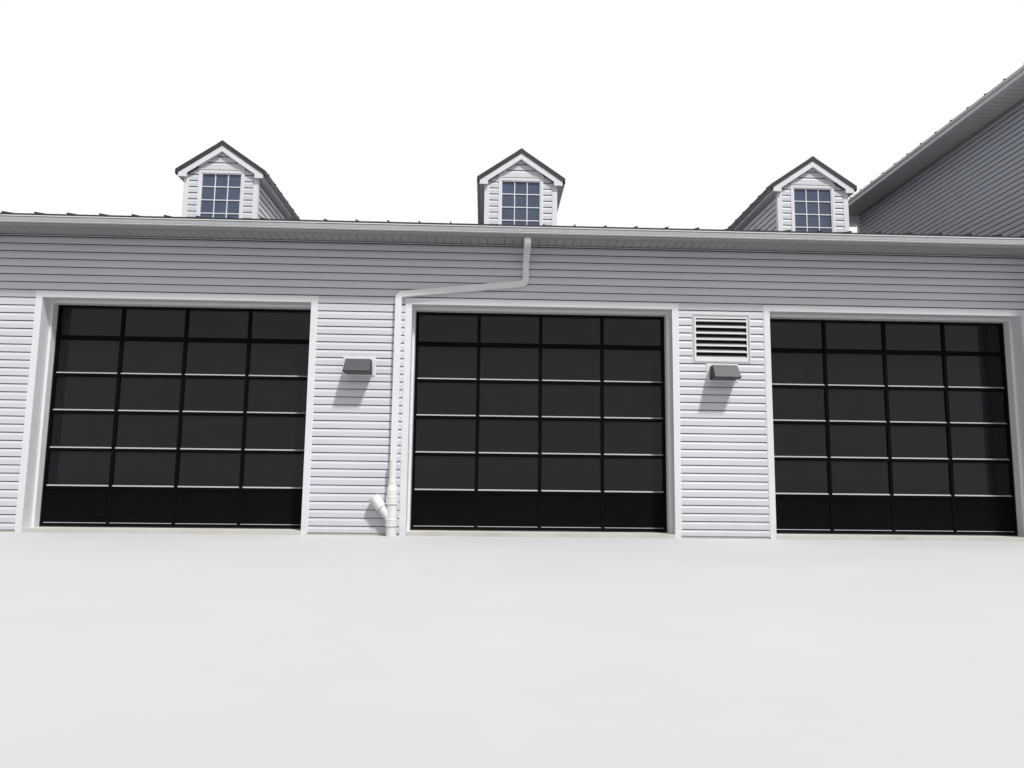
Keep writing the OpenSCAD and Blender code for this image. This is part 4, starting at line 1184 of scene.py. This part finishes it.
def lamp_lenses():
    """Ribbed lens in the pocket under each lamp, and two screws on each side, which the end
    plates cover."""
    lens, screws = [], []
    width, depth, ribs = 0.376, 0.236, 14
    root, crest = 0.003, 0.007
    step = width / ribs
    pocket_y, pocket_z = LAMP_BACK - LAMP_D + 0.022, LAMP_FOOT + 0.0095
    half, lean = 0.2098, 0.028 / LAMP_H
    head_r, head_h, tilt = 0.008, 0.004, 0.12
    places = ((-0.20, 0.05), (-0.13, 0.15))
    section = [(0, 0)]
    for i in range(ribs):
        section += [(i * step, root), ((i + 0.5) * step, crest)]
    section += [(width, root), (width, 0)]
    for x in lamp_centres():
        at = axes((x - width / 2, pocket_y, pocket_z), (1, 0, 0), (0, 1, 0), (0, 0, -1))
        lens += extruded(at, section, 0, depth)
        for side in (-1, 1):
            for y, up in places:
                point = (x + side * (half - up * lean), y, pocket_z + up)
                screws += screw(point, (side, 0, tilt), head_r, head_h)
    solid_piece("lamp_lenses", lens, "lens")
    solid_piece("lamp_screws", screws, "lamp_metal")


def lamp_ends():
    """Dark end plates and the dark foot lip of each lamp, painted shade on the housing's ends and under
    its foot.
    """
    faces = []
    half, taper = LAMP_W / 2, (LAMP_W - LAMP_TOP_W) / 2 / LAMP_H
    outline = [(-0.006, 0.004), (-0.006, 0.222), (-0.147, 0.222), (-0.294, 0.021), (-0.294, 0.004)]
    proud, lip, chamfer = 0.003, 0.002, 0.0005
    front, lip_z0, lip_z1 = LAMP_BACK - LAMP_D, LAMP_FOOT + 0.001, LAMP_FOOT + 0.018
    for x in lamp_centres():
        for side in (-1, 1):
            inner, outer = ([(x + side * (half - taper * z + out), LAMP_BACK + y, LAMP_FOOT + z)
                             for y, z in outline] for out in (LIFT, proud))
            faces += [outer, inner[::-1]] + joined([inner, outer])
        faces += bar(x - half + lip, x + half - lip, front - lip, front - LIFT, lip_z0, lip_z1, chamfer)
    solid_piece("lamp_end_plates", faces, "lamp_end_painted_shade")


def screw(point, out, radius, height, sides=12):
    """A low domed head standing on a face."""
    n = Vector(out).normalized()
    a = n.orthogonal().normalized()
    at = axes(point, a, n.cross(a), n)
    dome = ((1.0, 0.0), (0.92, 0.6), (0.55, 1.0))
    rings = [circle(at, radius * r, height * h, sides) for r, h in dome]
    return joined(rings) + [rings[-1], rings[0][::-1]]


# stage

def camera():
    """The photograph's view, by its yaw, pitch and roll, and its place in the plan's frame."""
    yaw, pitch, roll = -0.034679, 0.125384, 0.011866
    place = Vector((-0.91, -12.1515, 0.8906))
    ahead = math.cos(pitch)
    forward = Vector((-math.sin(yaw) * ahead, math.cos(yaw) * ahead, math.sin(pitch)))
    flat = Vector((math.cos(yaw), math.sin(yaw), 0))
    steep = flat.cross(forward)
    right = flat * math.cos(roll) + steep * math.sin(roll)
    up = steep * math.cos(roll) - flat * math.sin(roll)
    data = bpy.data.cameras.new("camera")
    data.sensor_width = 36
    data.lens = 26.6825
    data.clip_end = 400
    ob = add_object("camera", data)
    turn = Matrix((right, up, -forward)).transposed().to_4x4()
    ob.matrix_world = Matrix.Translation(ORIGIN + place) @ turn
    bpy.context.scene.camera = ob


def direct_rays(tree):
    """One for rays that show the background: seen, mirrored or through glass; else zero."""
    path = tree.nodes.new("ShaderNodeLightPath")
    seen = (path, "Is Camera Ray")
    for ray in ("Is Glossy Ray", "Is Transmission Ray"):
        seen = combined("MAXIMUM", seen, (path, ray))
    return seen


def floor():
    """A plain pale floor just under the building, darker to the light that it throws back."""
    size, z = 120, -0.001
    thrown, pale, paler = (0.28, 0.28, 0.285), (0.55, 0.55, 0.55), (0.58, 0.58, 0.58)
    mesh = bpy.data.meshes.new("floor")
    mesh.from_pydata([(-size, -size, z), (size, -size, z), (size, size, z), (-size, size, z)], [],
                     [(0, 1, 2, 3)])
    material, shader, place = new_material("floor")
    tone = ramp(noise(place, 0.6, 4.0, 0.6), [(0.3, pale), (0.7, paler)])
    link(mix(direct_rays(shader.id_data), thrown, tone), shader, "Base Color")
    settle(shader, {"Roughness": 0.9})
    mesh.materials.append(material)
    add_object("floor", mesh)


def light():
    """Even sky light, white where it is seen, and one soft sun from the front right."""
    sky, seen_sky = 0.55, 1.0
    world = bpy.data.worlds.new("world")
    bpy.context.scene.world = world
    world.use_nodes = True
    tree = world.node_tree
    back = settle(tree.nodes["Background"], {"Color": (1, 1, 1, 1)})
    link(spread(direct_rays(tree), sky, seen_sky, 0.0, 1.0), back, "Strength")
    sun = bpy.data.lights.new("sun", "SUN")
    sun.energy = 3.3
    sun.angle = math.radians(5)
    towards = Vector((-0.62, 1.0, -1.72))
    add_object("sun", sun).rotation_euler = towards.to_track_quat("-Z", "Y").to_euler()


def main():
    bpy.context.scene.view_settings.view_transform = "Standard"
    dress_nodes()
    low_siding()
    tall_siding()
    dormer_siding()
    soffits()
    eave_channels()
    dormer_rake_soffits()
    dormer_eave_soffits()
    low_seams()
    tall_seams()
    dormer_seams()
    flashings()
    dormer_muntins()
    spout()
    pipe_rings()
    tall_edges()
    gutter_crests()
    door_ledges()
    door_seals()
    lamp_lenses()
    lamp_ends()
    camera()
    floor()
    light()


main()
